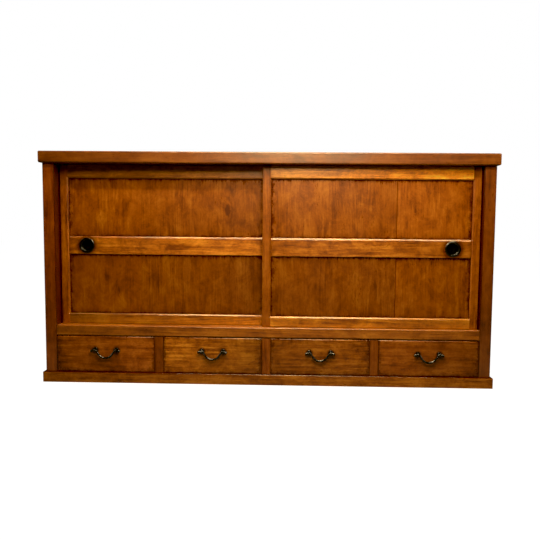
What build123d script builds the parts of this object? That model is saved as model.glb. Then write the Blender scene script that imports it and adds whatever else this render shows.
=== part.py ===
from build123d import *

import math
import os

# Mizuya kitchen cabinet: a two-door sliding cupboard over a row of four drawers.
# Millimetres. +Z is up, +X is to the right of someone facing the cabinet, and the front faces -Y.
# The origin lies on the floor, midway across the width and midway between the front and back edges
# of the top board.

# ---------------------------------------------------------------- sizes: carcass
BODY_W = 1700.0             # width over the corner posts
BODY_D = 440.0              # depth over the corner posts
BASE_H = 40.5               # height of the base frame
DRAWER_BAY_H = 138.2        # clear height of the drawer bays
SILL_H = 40.0               # height of the sill that carries the lower door tracks
CUPBOARD_H = 617.8          # clear height from the sill to the underside of the top
TOP_T = 43.5                # thickness of the top planks

TOP_SIDE_LAP = 9.5          # how far the top stands out past the posts at each side
TOP_FRONT_LAP = 14.0        # and at the front
TOP_ROUND = 4.5             # radius on the front and side edges of the top
TOP_FRONT_PLANK_D = 152.0   # depth of the front plank, which holds the upper door tracks
TOP_REAR_PLANKS = 2
PLANK_TONGUE_T = 12.0       # tongue and groove between the planks of the top
PLANK_TONGUE_L = 10.0
PLANK_TONGUE_STOP = 30.0    # the tongue stops this far inside the posts' outer faces

BASE_SIDE_LAP = 8.0
BASE_FRONT_LAP = 11.0
BASE_ROUND = 3.5
BASE_FRONT_D = 92.0         # width of the front base board, laid flat
BASE_REAR_D = 60.0
BASE_END_W = 62.0

POST_W = 44.0               # width of the posts seen from the front
REAR_POST_D = 44.0
TRACK_MARGIN = 6.0          # wood left behind the rear track
POST_TENON_INSET = 10.0     # shoulder all round a post's tenon
POST_TENON_L = 20.0
EDGE_EASE = 1.5             # small chamfer on the arrises that hands and feet meet

SILL_SETBACK = 1.0          # the sill's face lies this far behind the posts' front plane
SILL_TENON_L = 20.0
RAIL_TENON_L = 15.0
RAIL_TENON_T = 11.0
TENON_SHOULDER = 7.0        # shoulder above and below a rail's tenon
TENON_WALL = 5.0            # wood left between two tenons that meet in one post

DRAWER_COUNT = 4
DIVIDER_W = 33.0
DIVIDER_SETBACK = 2.5
DIVIDER_TENON_L = 10.0
DIVIDER_TENON_INSET = 8.0
GUIDE_H = 24.0              # drawer guides that run back from the dividers

SIDE_RAIL_SETBACK = 5.0     # side rails lie this far inside the posts' outer faces
BACK_RAIL_SETBACK = 6.0
BACK_RAIL_T = 26.0
LOW_RAIL_H = 34.0
TOP_RAIL_H = 40.0
SHELF_RAIL_H = 40.0
INFILL_T = 9.0              # boards that fill the sides and the back
INFILL_HOUSING = 7.0        # depth of the grooves that hold them
INFILL_SETBACK = 9.0        # side boards' outer face inside the side rails' outer face

FLOOR_T = 12.0              # boards of the cupboard floor, the shelf and the drawer floor
FLOOR_BEARING = 10.0        # width of the rebates that carry them
REAR_BEARING = 7.0          # their bearing on the back rails
FLOOR_BOARDS = 6
BACK_BOARDS = 6
SIDE_BOARDS = 2
BOARD_LAP = 6.0             # width of the half lap between neighbouring boards

SHELF_ABOVE_SILL = 306.0    # top of the inner shelf, above the sill
SHELF_SETBACK = 26.0        # from the rear of the front posts to the shelf's front rail
SHELF_FRONT_RAIL_T = 28.0
SHELF_STRUT_W = 30.0
SHELF_END_CLEAR = 1.0       # the loose shelf boards clear the side rails

# ---------------------------------------------------------------- sizes: doors
DOOR_SETBACK = 21.0         # front face of the front door behind the posts' front plane
DOOR_T = 22.0
DOOR_SPACING = 4.0          # free space between the two doors
DOOR_OVERLAP = 37.0         # how far the closed doors pass each other
DOOR_END_CLEAR = 1.0
DOOR_SEAT_CLEAR = 0.3       # under the door's shoulder and under its lower tongue
DOOR_HEAD_CLEAR = 4.4       # above the door's upper shoulder
DOOR_TONGUE_T = 10.0
TRACK_CLEAR = 0.5           # each side of a tongue in its track
LOWER_TRACK_DEPTH = 3.5
UPPER_TRACK_DEPTH = 15.0
UPPER_TONGUE_BITE = 8.0     # how far the upper tongue stands in its track

STILE_W = 32.5
DOOR_TOP_RAIL_H = 48.0
DOOR_BOTTOM_RAIL_H = 40.5
FRAME_CHAMFER = 4.5         # chamfer round the inner edge of a door's frame
PANEL_DEPTH = 8.5           # panel's face behind the frame's face
PANEL_T = 6.0
PANEL_HOUSING = 6.0
PANEL_SEAM = 508.5          # from the door's meeting edge to the seam of its panel
DOOR_TENON_T = 8.0
DOOR_TENON_L = 24.0
DOOR_TENON_SHOULDER = 8.0

BELT_ABOVE_SHOULDER = 271.5
BELT_H = 70.5
BELT_DEPTH = 3.5            # belt's face behind the frame's face
BELT_TOP_CHAMFER = 6.5      # height of the sloping upper edge
BELT_CHAMFER_DEPTH = 4.0
BELT_LOW_CHAMFER = 1.5

PULL_FROM_EDGE = 101.5      # pull's centre from the door's outer edge
PULL_ABOVE_BELT = 34.0      # pull's centre above the belt's lower edge
PULL_R = 30.5               # outside of the flange
PULL_CREST_R = 26.0         # outside of the flat crest that the flange rises to
PULL_CREST_H = 2.2          # how far the crest stands proud of the belt
PULL_CUP_R = 22.5           # inside of the cup
PULL_CUP_DEPTH = 9.0
PULL_WALL = 1.0
PULL_FIT = 0.2              # round the cup in its bore

# ---------------------------------------------------------------- sizes: drawers
DRAWER_SIDE_CLEAR = 0.6
DRAWER_SEAT_CLEAR = 0.3
DRAWER_HEAD_CLEAR = 1.2
DRAWER_STOP_CLEAR = 0.3     # between a shut drawer and the low back rail
DRAWER_FRONT_T = 20.0
DRAWER_FRONT_ROUND = 4.0    # rounded upper edge of a drawer front
DRAWER_REBATE = 12.0        # depth of the rebates behind the front
DRAWER_SIDE_T = 10.0
DRAWER_BACK_T = 10.0
DRAWER_BOTTOM_T = 8.0
DRAWER_WALL_DROP = 4.0      # sides and back are this much lower than the front

EYE_HEIGHT = 84.5           # handle's pivot above the base
EYE_SPACING = 82.0          # between the centres of the two eyes
EYE_STANDOFF = 8.0          # pivot in front of the drawer's face
EYE_WALL = 2.5
EYE_W = 5.0
SHANK_H = 4.6               # the two legs of the split pin together
SHANK_SLIT = 0.4
SHANK_FIT = 0.1
CLENCH_L = 13.0             # each leg turned over inside the drawer
CLENCH_T = 1.6
SEAT_R = 9.5                # eight-sided seat under the eye, to a flat
SEAT_T = 1.6
SEAT_BEVEL = 0.8

FORGED_SIDES = 8            # flats hammered along the bail, its buds and the seats
ROD_R = 2.75                # bail's rod at the eyes, where it is filed round
ROD_FIT = 0.3               # round the rod in its eye
BELLY_R = 4.0               # to a flat of the bar at its lowest point
BAIL_DROP = 30.0            # pivot to the middle of the rod at its lowest point
ARM_CORNER = 36.0           # half width where the arms turn down
ARM_SLOPE = 58.0            # degrees below level
ELBOW_R = 4.5
BUD_GAP = 0.4               # between the eye and the bud
BUD_L = 13.0                # fern bud at each end of the rod
BUD_DROOP = 20.0            # degrees that the buds hang below level
BUD_NECK_R = 3.3
BUD_R = 5.0
BUD_FLARE_L = 10.4          # length over which it widens from the neck
BUD_CAP_L = 2.2             # length of its bevelled end
BUD_TIP_R = 2.8

# ---------------------------------------------------------------- places worked out from the sizes
FRONT_Y = (TOP_FRONT_LAP - BODY_D) / 2
BACK_Y = FRONT_Y + BODY_D
BAY_Z = BASE_H
SILL_Z = BAY_Z + DRAWER_BAY_H
CUPBOARD_Z = SILL_Z + SILL_H
TOP_Z = CUPBOARD_Z + CUPBOARD_H
HEIGHT = TOP_Z + TOP_T

HALF_W = BODY_W / 2
HALF_OPENING = HALF_W - POST_W
FRONT_POST_D = DOOR_SETBACK + 2 * DOOR_T + DOOR_SPACING + TRACK_MARGIN
FRONT_POST_Y = FRONT_Y + FRONT_POST_D
REAR_POST_Y = BACK_Y - REAR_POST_D
SIDE_RAIL_T = POST_W - SIDE_RAIL_SETBACK
BACK_RAIL_Y = BACK_Y - BACK_RAIL_SETBACK - BACK_RAIL_T
SHELF_Z = CUPBOARD_Z + SHELF_ABOVE_SILL

BAY_W = (2 * HALF_OPENING - (DRAWER_COUNT - 1) * DIVIDER_W) / DRAWER_COUNT
BAY_PITCH = BAY_W + DIVIDER_W
BAY_CENTRES = [(i - (DRAWER_COUNT - 1) / 2) * BAY_PITCH for i in range(DRAWER_COUNT)]
DIVIDER_CENTRES = [(a + b) / 2 for a, b in zip(BAY_CENTRES, BAY_CENTRES[1:])]

DOOR_W = HALF_OPENING - DOOR_END_CLEAR + DOOR_OVERLAP / 2
DOOR_H = CUPBOARD_H - DOOR_SEAT_CLEAR - DOOR_HEAD_CLEAR
DOOR_Z = CUPBOARD_Z + DOOR_SEAT_CLEAR
FRONT_DOOR_Y = FRONT_Y + DOOR_SETBACK
REAR_DOOR_Y = FRONT_DOOR_Y + DOOR_T + DOOR_SPACING
TONGUE_INSET = (DOOR_T - DOOR_TONGUE_T) / 2
TRACK_W = DOOR_TONGUE_T + 2 * TRACK_CLEAR

# Low, shelf and top rails of the sides and back: (bottom, top) of each, with the sill-height rail.
RAIL_LEVELS = [
    (BASE_H, BASE_H + LOW_RAIL_H),
    (SILL_Z, CUPBOARD_Z),
    (SHELF_Z - FLOOR_T - SHELF_RAIL_H, SHELF_Z - FLOOR_T),
    (TOP_Z - TOP_RAIL_H, TOP_Z),
]
FIELD_LEVELS = [(low[1], high[0]) for low, high in zip(RAIL_LEVELS, RAIL_LEVELS[1:])]


# ---------------------------------------------------------------- shared shapes
def block(x0, x1, y0, y1, z0, z1):
    """A box between two corners."""
    low = Align.MIN
    return Pos(x0, y0, z0) * Box(x1 - x0, y1 - y0, z1 - z0, align=(low, low, low))


def mirrored(solids):
    """The same pieces on the other side of the cabinet."""
    return [mirror(solid, Plane.YZ) for solid in solids]


def lapped_boards(plane, width, thickness, length, count):
    """Boards side by side with half-lapped edges: width along the plane's X, length along its Z."""
    pitch = width / count
    boards = []
    for i in range(count):
        lap_left = BOARD_LAP if i > 0 else 0
        lap_right = BOARD_LAP if i < count - 1 else 0
        outline = board_outline(i * pitch, (i + 1) * pitch, lap_left, lap_right, thickness)
        boards.append(plane.location * extrude(make_face(outline), length))
    return boards


def board_outline(left, right, lap_left, lap_right, thickness):
    """Section of one board: each lapped edge is halved, and an edge with no lap is square."""
    half = thickness / 2
    points = [(left, 0), (right, 0)]
    if lap_right:
        points += [(right, half), (right + lap_right, half)]
    points += [(right + lap_right, thickness), (left + lap_left, thickness)]
    if lap_left:
        points += [(left + lap_left, half), (left, half)]
    return Polyline(*points, close=True)


def cut_all(solid, cutters):
    """A solid with every cutter taken out of it."""
    for cutter in cutters:
        solid = solid - cutter
    return solid


# ---------------------------------------------------------------- housings that several pieces share
def post_tenon(x0, x1, y0, y1, z0, z1):
    """Stub tenon of a post, inside its footprint, between two heights."""
    inset = POST_TENON_INSET
    return block(x0 + inset, x1 - inset, y0 + inset, y1 - inset, z0, z1)


def post_tenons(y0, y1):
    """The right-hand post's lower and upper tenons."""
    low = post_tenon(HALF_OPENING, HALF_W, y0, y1, BASE_H - POST_TENON_L, BASE_H)
    high = post_tenon(HALF_OPENING, HALF_W, y0, y1, TOP_Z, TOP_Z + POST_TENON_L)
    return low, high


def sill_tenon():
    """The sill's right-hand tenon, in the front post."""
    y0 = FRONT_Y + SILL_SETBACK + POST_TENON_INSET
    y1 = FRONT_POST_Y - RAIL_TENON_L - TENON_WALL
    z0, z1 = SILL_Z + TENON_SHOULDER, CUPBOARD_Z - TENON_SHOULDER
    return block(HALF_OPENING, HALF_OPENING + SILL_TENON_L, y0, y1, z0, z1)


def divider_tenons(x):
    """A divider's tenons in the base and in the sill."""
    inset = DIVIDER_TENON_INSET
    x0, x1 = x - DIVIDER_W / 2 + inset, x + DIVIDER_W / 2 - inset
    y0, y1 = FRONT_Y + DIVIDER_SETBACK + inset, FRONT_POST_Y - inset
    low = block(x0, x1, y0, y1, BASE_H - DIVIDER_TENON_L, BASE_H)
    high = block(x0, x1, y0, y1, SILL_Z, SILL_Z + DIVIDER_TENON_L)
    return low, high


def side_rail_tenons(level):
    """Both tenons of a right-hand side rail, in the front and the rear post."""
    middle = HALF_OPENING + SIDE_RAIL_T / 2
    x0, x1 = middle - RAIL_TENON_T / 2, middle + RAIL_TENON_T / 2
    z0, z1 = level[0] + TENON_SHOULDER, level[1] - TENON_SHOULDER
    front = block(x0, x1, FRONT_POST_Y - RAIL_TENON_L, FRONT_POST_Y, z0, z1)
    rear = block(x0, x1, REAR_POST_Y, REAR_POST_Y + RAIL_TENON_L, z0, z1)
    return front, rear


def back_rail_tenon(level):
    """The right-hand tenon of a back rail, in the rear post."""
    middle = BACK_RAIL_Y + BACK_RAIL_T / 2
    y0, y1 = middle - RAIL_TENON_T / 2, middle + RAIL_TENON_T / 2
    z0, z1 = level[0] + TENON_SHOULDER, level[1] - TENON_SHOULDER
    return block(HALF_OPENING, HALF_OPENING + RAIL_TENON_L, y0, y1, z0, z1)


def side_infill(level):
    """Space that the right-hand side's boards fill between two rails, with their housings."""
    x0 = HALF_OPENING + SIDE_RAIL_T - INFILL_SETBACK - INFILL_T
    y0, y1 = FRONT_POST_Y - INFILL_HOUSING, REAR_POST_Y + INFILL_HOUSING
    return block(x0, x0 + INFILL_T, y0, y1, level[0] - INFILL_HOUSING, level[1] + INFILL_HOUSING)


def back_infill(level):
    """Space that the back boards fill between two rails, with their housings."""
    y0 = BACK_RAIL_Y + (BACK_RAIL_T - INFILL_T) / 2
    half = HALF_OPENING + INFILL_HOUSING
    return block(-half, half, y0, y0 + INFILL_T, level[0] - INFILL_HOUSING, level[1] + INFILL_HOUSING)


# ---------------------------------------------------------------- carcass
def top_planks():
    """Three planks joined edge to edge. The front one holds the two upper door tracks."""
    half = HALF_W + TOP_SIDE_LAP
    front = FRONT_Y - TOP_FRONT_LAP
    slab = block(-half, half, front, BACK_Y, TOP_Z, HEIGHT)
    level_edges = slab.edges().filter_by(Axis.Z, reverse=True)
    slab = fillet(level_edges.sort_by(Axis.Y)[:-2], TOP_ROUND)

    seams = [front, front + TOP_FRONT_PLANK_D]
    rear_plank_d = (BACK_Y - seams[1]) / TOP_REAR_PLANKS
    seams += [seams[1] + rear_plank_d * (i + 1) for i in range(TOP_REAR_PLANKS)]
    planks = [slab & block(-half, half, y0, y1, TOP_Z, HEIGHT) for y0, y1 in zip(seams, seams[1:])]

    tongue_half = HALF_W - PLANK_TONGUE_STOP
    tongue_z = TOP_Z + (TOP_T - PLANK_TONGUE_T) / 2
    for i, seam in enumerate(seams[1:-1]):
        tongue = block(-tongue_half, tongue_half, seam - PLANK_TONGUE_L, seam,
                       tongue_z, tongue_z + PLANK_TONGUE_T)
        planks[i] = planks[i] - tongue
        planks[i + 1] = planks[i + 1] + tongue

    tracks = [door_track(y, TOP_Z, TOP_Z + UPPER_TRACK_DEPTH) for y in (FRONT_DOOR_Y, REAR_DOOR_Y)]
    front_mortise = post_tenons(FRONT_Y, FRONT_POST_Y)[1]
    rear_mortise = post_tenons(REAR_POST_Y, BACK_Y)[1]
    planks[0] = cut_all(planks[0], tracks + [front_mortise] + mirrored([front_mortise]))
    planks[-1] = cut_all(planks[-1], [rear_mortise] + mirrored([rear_mortise]))
    return {"top_front_plank": planks[:1], "top_rear_planks": planks[1:]}


def door_track(door_y, z0, z1):
    """Groove that a door's tongue runs in, from post to post."""
    y0 = door_y + TONGUE_INSET - TRACK_CLEAR
    return block(-HALF_OPENING, HALF_OPENING, y0, y0 + TRACK_W, z0, z1)


def base_frame():
    """Four boards laid flat: the front and rear ones run through, the ends are tenoned between."""
    half = HALF_W + BASE_SIDE_LAP
    front = FRONT_Y - BASE_FRONT_LAP
    inner_half = half - BASE_END_W
    inner_front, inner_rear = front + BASE_FRONT_D, BACK_Y - BASE_REAR_D

    ring = block(-half, half, front, BACK_Y, 0, BASE_H)
    ring = fillet(ring.faces().sort_by(Axis.Z)[-1].edges(), BASE_ROUND)
    ring = ring - block(-inner_half, inner_half, inner_front, inner_rear, 0, BASE_H)
    ring = ring - block(-HALF_OPENING, HALF_OPENING, inner_front - FLOOR_BEARING,
                        inner_rear + FLOOR_BEARING, BASE_H - FLOOR_T, BASE_H)

    through = [block(-half, half, front, inner_front, 0, BASE_H),
               block(-half, half, inner_rear, BACK_Y, 0, BASE_H)]
    board_front, board_rear = [ring & part for part in through]
    end = ring & block(inner_half, half, inner_front, inner_rear, 0, BASE_H)

    middle = inner_half + BASE_END_W / 2
    x0, x1 = middle - POST_TENON_INSET, middle + POST_TENON_INSET
    z0, z1 = TENON_SHOULDER, BASE_H - FLOOR_T - TENON_SHOULDER
    tenons = [block(x0, x1, inner_front - RAIL_TENON_L, inner_front, z0, z1),
              block(x0, x1, inner_rear, inner_rear + RAIL_TENON_L, z0, z1)]
    for tenon in tenons:
        end = end + tenon

    front_cuts = [tenons[0], post_tenons(FRONT_Y, FRONT_POST_Y)[0]]
    rear_cuts = [tenons[1], post_tenons(REAR_POST_Y, BACK_Y)[0]]
    board_front = cut_all(board_front, front_cuts + mirrored(front_cuts))
    board_front = cut_all(board_front, [divider_tenons(x)[0] for x in DIVIDER_CENTRES])
    board_rear = cut_all(board_rear, rear_cuts + mirrored(rear_cuts))

    floor = lapped_boards(
        Plane((-HALF_OPENING, inner_front - FLOOR_BEARING, BASE_H), x_dir=(1, 0, 0), z_dir=(0, 1, 0)),
        2 * HALF_OPENING, FLOOR_T, inner_rear - inner_front + 2 * FLOOR_BEARING, FLOOR_BOARDS)
    return {
        "base_front": [board_front],
        "base_rear": [board_rear],
        "base_ends": mirrored([end]) + [end],
        "drawer_floor": floor,
    }


def posts():
    """Four corner posts, tenoned into the base and the top, and grooved for the infill boards."""
    cuts = [side_infill(level) for level in FIELD_LEVELS]
    front = block(HALF_OPENING, HALF_W, FRONT_Y, FRONT_POST_Y, BASE_H, TOP_Z)
    front = chamfer(front.faces().sort_by(Axis.Y)[0].edges().filter_by(Axis.Z), EDGE_EASE)
    for tenon in post_tenons(FRONT_Y, FRONT_POST_Y):
        front = front + tenon
    front = cut_all(front, cuts + [sill_tenon()])
    front = cut_all(front, [side_rail_tenons(level)[0] for level in RAIL_LEVELS])

    rear = block(HALF_OPENING, HALF_W, REAR_POST_Y, BACK_Y, BASE_H, TOP_Z)
    rear = chamfer(rear.faces().sort_by(Axis.Y)[-1].edges().filter_by(Axis.Z), EDGE_EASE)
    for tenon in post_tenons(REAR_POST_Y, BACK_Y):
        rear = rear + tenon
    rear = cut_all(rear, cuts + [back_infill(level) for level in FIELD_LEVELS])
    for level in RAIL_LEVELS:
        rear = cut_all(rear, [side_rail_tenons(level)[1], back_rail_tenon(level)])
    return {
        "post_front_left": mirrored([front]),
        "post_front_right": [front],
        "post_rear_left": mirrored([rear]),
        "post_rear_right": [rear],
    }


def sill():
    """Rail between the drawers and the doors, with both lower tracks and a rebate for the floor."""
    face = FRONT_Y + SILL_SETBACK
    rail = block(-HALF_OPENING, HALF_OPENING, face, FRONT_POST_Y + FLOOR_BEARING, SILL_Z, CUPBOARD_Z)
    rail = chamfer(rail.faces().sort_by(Axis.Y)[0].edges().filter_by(Axis.X), EDGE_EASE)
    rail = rail - block(-HALF_OPENING, HALF_OPENING, FRONT_POST_Y, FRONT_POST_Y + FLOOR_BEARING,
                        CUPBOARD_Z - FLOOR_T, CUPBOARD_Z)
    rail = rail + sill_tenon() + mirrored([sill_tenon()])[0]
    tracks = [door_track(y, CUPBOARD_Z - LOWER_TRACK_DEPTH, CUPBOARD_Z)
              for y in (FRONT_DOOR_Y, REAR_DOOR_Y)]
    return {"sill_with_tracks": [cut_all(rail, tracks + [divider_tenons(x)[1] for x in DIVIDER_CENTRES])]}


def dividers():
    """Short posts between the drawers, and the guides that run back from them."""
    uprights, guides = [], []
    for x in DIVIDER_CENTRES:
        x0, x1 = x - DIVIDER_W / 2, x + DIVIDER_W / 2
        upright = block(x0, x1, FRONT_Y + DIVIDER_SETBACK, FRONT_POST_Y, BAY_Z, SILL_Z)
        upright = chamfer(upright.faces().sort_by(Axis.Y)[0].edges().filter_by(Axis.Z), EDGE_EASE)
        for tenon in divider_tenons(x):
            upright = upright + tenon
        uprights.append(upright)
        guides.append(block(x0, x1, FRONT_POST_Y, BACK_RAIL_Y, BAY_Z, BAY_Z + GUIDE_H))
    return {"drawer_dividers": uprights, "drawer_guides": guides}


def shelf_rail_housing():
    """Where the shelf's front rail is let into the right-hand shelf rail."""
    y0 = FRONT_POST_Y + SHELF_SETBACK
    z0, z1 = RAIL_LEVELS[2]
    return block(HALF_OPENING, HALF_OPENING + RAIL_TENON_L, y0, y0 + SHELF_FRONT_RAIL_T,
                 z0 + TENON_SHOULDER, z1)


def sides():
    """Rails between the posts at each side, and the lapped boards housed between them."""
    rails = []
    for level in RAIL_LEVELS:
        rail = block(HALF_OPENING, HALF_OPENING + SIDE_RAIL_T, FRONT_POST_Y, REAR_POST_Y, *level)
        for tenon in side_rail_tenons(level):
            rail = rail + tenon
        rail = cut_all(rail, [side_infill(field) for field in FIELD_LEVELS] + [shelf_rail_housing()])
        rails.append(rail)

    boards = []
    face = HALF_OPENING + SIDE_RAIL_T - INFILL_SETBACK
    width = REAR_POST_Y - FRONT_POST_Y + 2 * INFILL_HOUSING
    for i, (z0, z1) in enumerate(FIELD_LEVELS):
        corner = (face, FRONT_POST_Y - INFILL_HOUSING, z0 - INFILL_HOUSING)
        boards += lapped_boards(Plane(corner, x_dir=(0, 1, 0), z_dir=(0, 0, 1)), width, INFILL_T,
                                z1 - z0 + 2 * INFILL_HOUSING, 1 if i == 0 else SIDE_BOARDS)
    return {
        "side_rails_left": mirrored(rails),
        "side_rails_right": rails,
        "side_boards_left": mirrored(boards),
        "side_boards_right": boards,
    }


def back():
    """Rails between the rear posts, and the lapped boards housed between them."""
    rails = []
    for i, level in enumerate(RAIL_LEVELS):
        rail = block(-HALF_OPENING, HALF_OPENING, BACK_RAIL_Y, BACK_RAIL_Y + BACK_RAIL_T, *level)
        tenon = back_rail_tenon(level)
        rail = rail + tenon + mirrored([tenon])[0]
        rail = cut_all(rail, [back_infill(field) for field in FIELD_LEVELS])
        if i == 1:
            rail = rail - block(-HALF_OPENING, HALF_OPENING, BACK_RAIL_Y, BACK_RAIL_Y + REAR_BEARING,
                                CUPBOARD_Z - FLOOR_T, CUPBOARD_Z)
        rails.append(rail)

    boards = []
    outer = BACK_RAIL_Y + (BACK_RAIL_T + INFILL_T) / 2
    half = HALF_OPENING + INFILL_HOUSING
    for i, (z0, z1) in enumerate(FIELD_LEVELS):
        plane = Plane((half, outer, z0 - INFILL_HOUSING), x_dir=(-1, 0, 0), z_dir=(0, 0, 1))
        boards += lapped_boards(plane, 2 * half, INFILL_T, z1 - z0 + 2 * INFILL_HOUSING,
                                1 if i == 0 else BACK_BOARDS)
    return {"back_rails": rails, "back_boards": boards}


def cupboard_inside():
    """Floor boards between the sill and the back, and a shelf carried by a front rail and a strut."""
    floor_y0, floor_y1 = FRONT_POST_Y, BACK_RAIL_Y + REAR_BEARING
    floor_plane = Plane((-HALF_OPENING, floor_y0, CUPBOARD_Z), x_dir=(1, 0, 0), z_dir=(0, 1, 0))
    floor = lapped_boards(floor_plane, 2 * HALF_OPENING, FLOOR_T, floor_y1 - floor_y0, FLOOR_BOARDS)

    rail_y0 = FRONT_POST_Y + SHELF_SETBACK
    rail_y1 = rail_y0 + SHELF_FRONT_RAIL_T
    rail_z0, rail_z1 = RAIL_LEVELS[2]
    front_rail = block(-HALF_OPENING, HALF_OPENING, rail_y0, rail_y1, rail_z0, rail_z1)
    front_rail = front_rail + shelf_rail_housing() + mirrored([shelf_rail_housing()])[0]
    strut = block(-SHELF_STRUT_W / 2, SHELF_STRUT_W / 2, rail_y0, rail_y1, CUPBOARD_Z, rail_z0)

    shelf_half = HALF_OPENING - SHELF_END_CLEAR
    shelf_plane = Plane((-shelf_half, rail_y0, SHELF_Z), x_dir=(1, 0, 0), z_dir=(0, 1, 0))
    shelf_d = BACK_RAIL_Y + REAR_BEARING - rail_y0
    shelf = lapped_boards(shelf_plane, 2 * shelf_half, FLOOR_T, shelf_d, FLOOR_BOARDS)
    return {"cupboard_floor": floor, "shelf_boards": shelf, "shelf_rail_and_strut": [front_rail, strut]}


# ---------------------------------------------------------------- doors
def door_frame():
    """Frame of the right-hand door, meeting edge at x = 0 and face at y = 0, still in one piece."""
    opening = (STILE_W, DOOR_W - STILE_W, DOOR_BOTTOM_RAIL_H, DOOR_H - DOOR_TOP_RAIL_H)
    x0, x1, z0, z1 = opening
    frame = block(0, DOOR_W, 0, DOOR_T, 0, DOOR_H)
    frame = chamfer(frame.faces().sort_by(Axis.Y)[0].edges().filter_by(Axis.Z), EDGE_EASE)
    frame = frame - block(x0, x1, 0, DOOR_T, z0, z1)

    c = FRAME_CHAMFER
    wide = Plane.XZ * Pos((x0 + x1) / 2, (z0 + z1) / 2) * Rectangle(x1 - x0 + 2 * c, z1 - z0 + 2 * c)
    narrow = Pos(0, c, 0) * (Plane.XZ * Pos((x0 + x1) / 2, (z0 + z1) / 2) * Rectangle(x1 - x0, z1 - z0))
    frame = frame - loft([wide, narrow])

    frame = frame - panel_space()
    tongue_y = (TONGUE_INSET, TONGUE_INSET + DOOR_TONGUE_T)
    lower = block(0, DOOR_W, *tongue_y, DOOR_SEAT_CLEAR - LOWER_TRACK_DEPTH, 0)
    upper = block(0, DOOR_W, *tongue_y, DOOR_H, DOOR_H + DOOR_HEAD_CLEAR + UPPER_TONGUE_BITE)
    return frame + lower + upper


def panel_space():
    """Space that a door's panel fills, with its housings in the frame."""
    h = PANEL_HOUSING
    return block(STILE_W - h, DOOR_W - STILE_W + h, PANEL_DEPTH, PANEL_DEPTH + PANEL_T,
                 DOOR_BOTTOM_RAIL_H - h, DOOR_H - DOOR_TOP_RAIL_H + h)


def door_tenons(z0, z1):
    """Tenons of one door rail, in the meeting stile and in the outer stile."""
    y0 = PANEL_DEPTH + (PANEL_T - DOOR_TENON_T) / 2
    z0, z1 = z0 + DOOR_TENON_SHOULDER, z1 - DOOR_TENON_SHOULDER
    return [block(STILE_W - DOOR_TENON_L, STILE_W, y0, y0 + DOOR_TENON_T, z0, z1),
            block(DOOR_W - STILE_W, DOOR_W - STILE_W + DOOR_TENON_L, y0, y0 + DOOR_TENON_T, z0, z1)]


def pull_place():
    """Centre of a door's pull on the belt's face."""
    return Pos(DOOR_W - PULL_FROM_EDGE, BELT_DEPTH, BELT_ABOVE_SHOULDER + PULL_ABOVE_BELT)


def pull_bore():
    """Round hole for the pull's cup, through the belt and the panel."""
    radius = PULL_CUP_R + PULL_WALL + PULL_FIT
    length = PANEL_DEPTH + PANEL_T - BELT_DEPTH
    axis_in = Rot(-90, 0, 0)
    return pull_place() * axis_in * Cylinder(radius, length, align=(Align.CENTER, Align.CENTER, Align.MIN))


def door_belt():
    """Belt rail planted across the panel: sloping upper edge, eased lower edge."""
    y0, y1 = BELT_DEPTH, PANEL_DEPTH
    z0, z1 = BELT_ABOVE_SHOULDER, BELT_ABOVE_SHOULDER + BELT_H
    section = Polyline(
        (y1, z0), (y0 + BELT_LOW_CHAMFER, z0), (y0, z0 + BELT_LOW_CHAMFER), (y0, z1 - BELT_TOP_CHAMFER),
        (y0 + BELT_CHAMFER_DEPTH, z1), (y1, z1), close=True)
    belt = Plane.YZ * make_face(section)
    belt = Pos(STILE_W, 0, 0) * extrude(belt, DOOR_W - 2 * STILE_W, dir=(1, 0, 0))
    return belt - pull_bore()


def door_panel():
    """Two wide boards, butted at the seam, filling the frame from groove to groove."""
    space = panel_space() - pull_bore()
    meeting = block(0, PANEL_SEAM, 0, DOOR_T, 0, DOOR_H)
    return [space & meeting, space - meeting]


def door_pull():
    """Recessed iron pull: a dished flange that rises to a flat crest, and a straight cup behind it."""
    bore_r = PULL_CUP_R + PULL_WALL
    section = Polyline(
        (0, PULL_CUP_DEPTH), (PULL_CUP_R, PULL_CUP_DEPTH), (PULL_CUP_R, -PULL_CREST_H),
        (PULL_CREST_R, -PULL_CREST_H), (PULL_R, 0), (bore_r, 0),
        (bore_r, PULL_CUP_DEPTH + PULL_WALL), (0, PULL_CUP_DEPTH + PULL_WALL), close=True)
    return pull_place() * revolve(make_face(section), Axis.Y)


def door(name, place, handed):
    """All seven pieces of a door. place moves the right-hand pattern, and handed mirrors it or not."""
    frame = door_frame()
    top_z0 = DOOR_H - DOOR_TOP_RAIL_H
    tall = (-DOOR_H, 2 * DOOR_H)
    columns = [block(0, STILE_W, 0, DOOR_T, *tall),
               block(STILE_W, DOOR_W - STILE_W, 0, DOOR_T, *tall),
               block(DOOR_W - STILE_W, DOOR_W, 0, DOOR_T, *tall)]
    meeting, rails, outer = [frame & column for column in columns]
    bottom = rails & block(0, DOOR_W, 0, DOOR_T, -DOOR_H, DOOR_H / 2)
    top = rails & block(0, DOOR_W, 0, DOOR_T, DOOR_H / 2, 2 * DOOR_H)
    for z0, z1, is_top in ((0, DOOR_BOTTOM_RAIL_H, False), (top_z0, DOOR_H, True)):
        tenons = door_tenons(z0, z1)
        meeting, outer = meeting - tenons[0], outer - tenons[1]
        if is_top:
            top = top + tenons[0] + tenons[1]
        else:
            bottom = bottom + tenons[0] + tenons[1]
    pieces = {
        "meeting_stile": [meeting],
        "outer_stile": [outer],
        "top_rail": [top],
        "bottom_rail": [bottom],
        "belt_rail": [door_belt()],
        "panel": door_panel(),
        "pull": [door_pull()],
    }
    return {f"{name}_{piece}": handed([place * solid for solid in solids])
            for piece, solids in pieces.items()}


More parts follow.
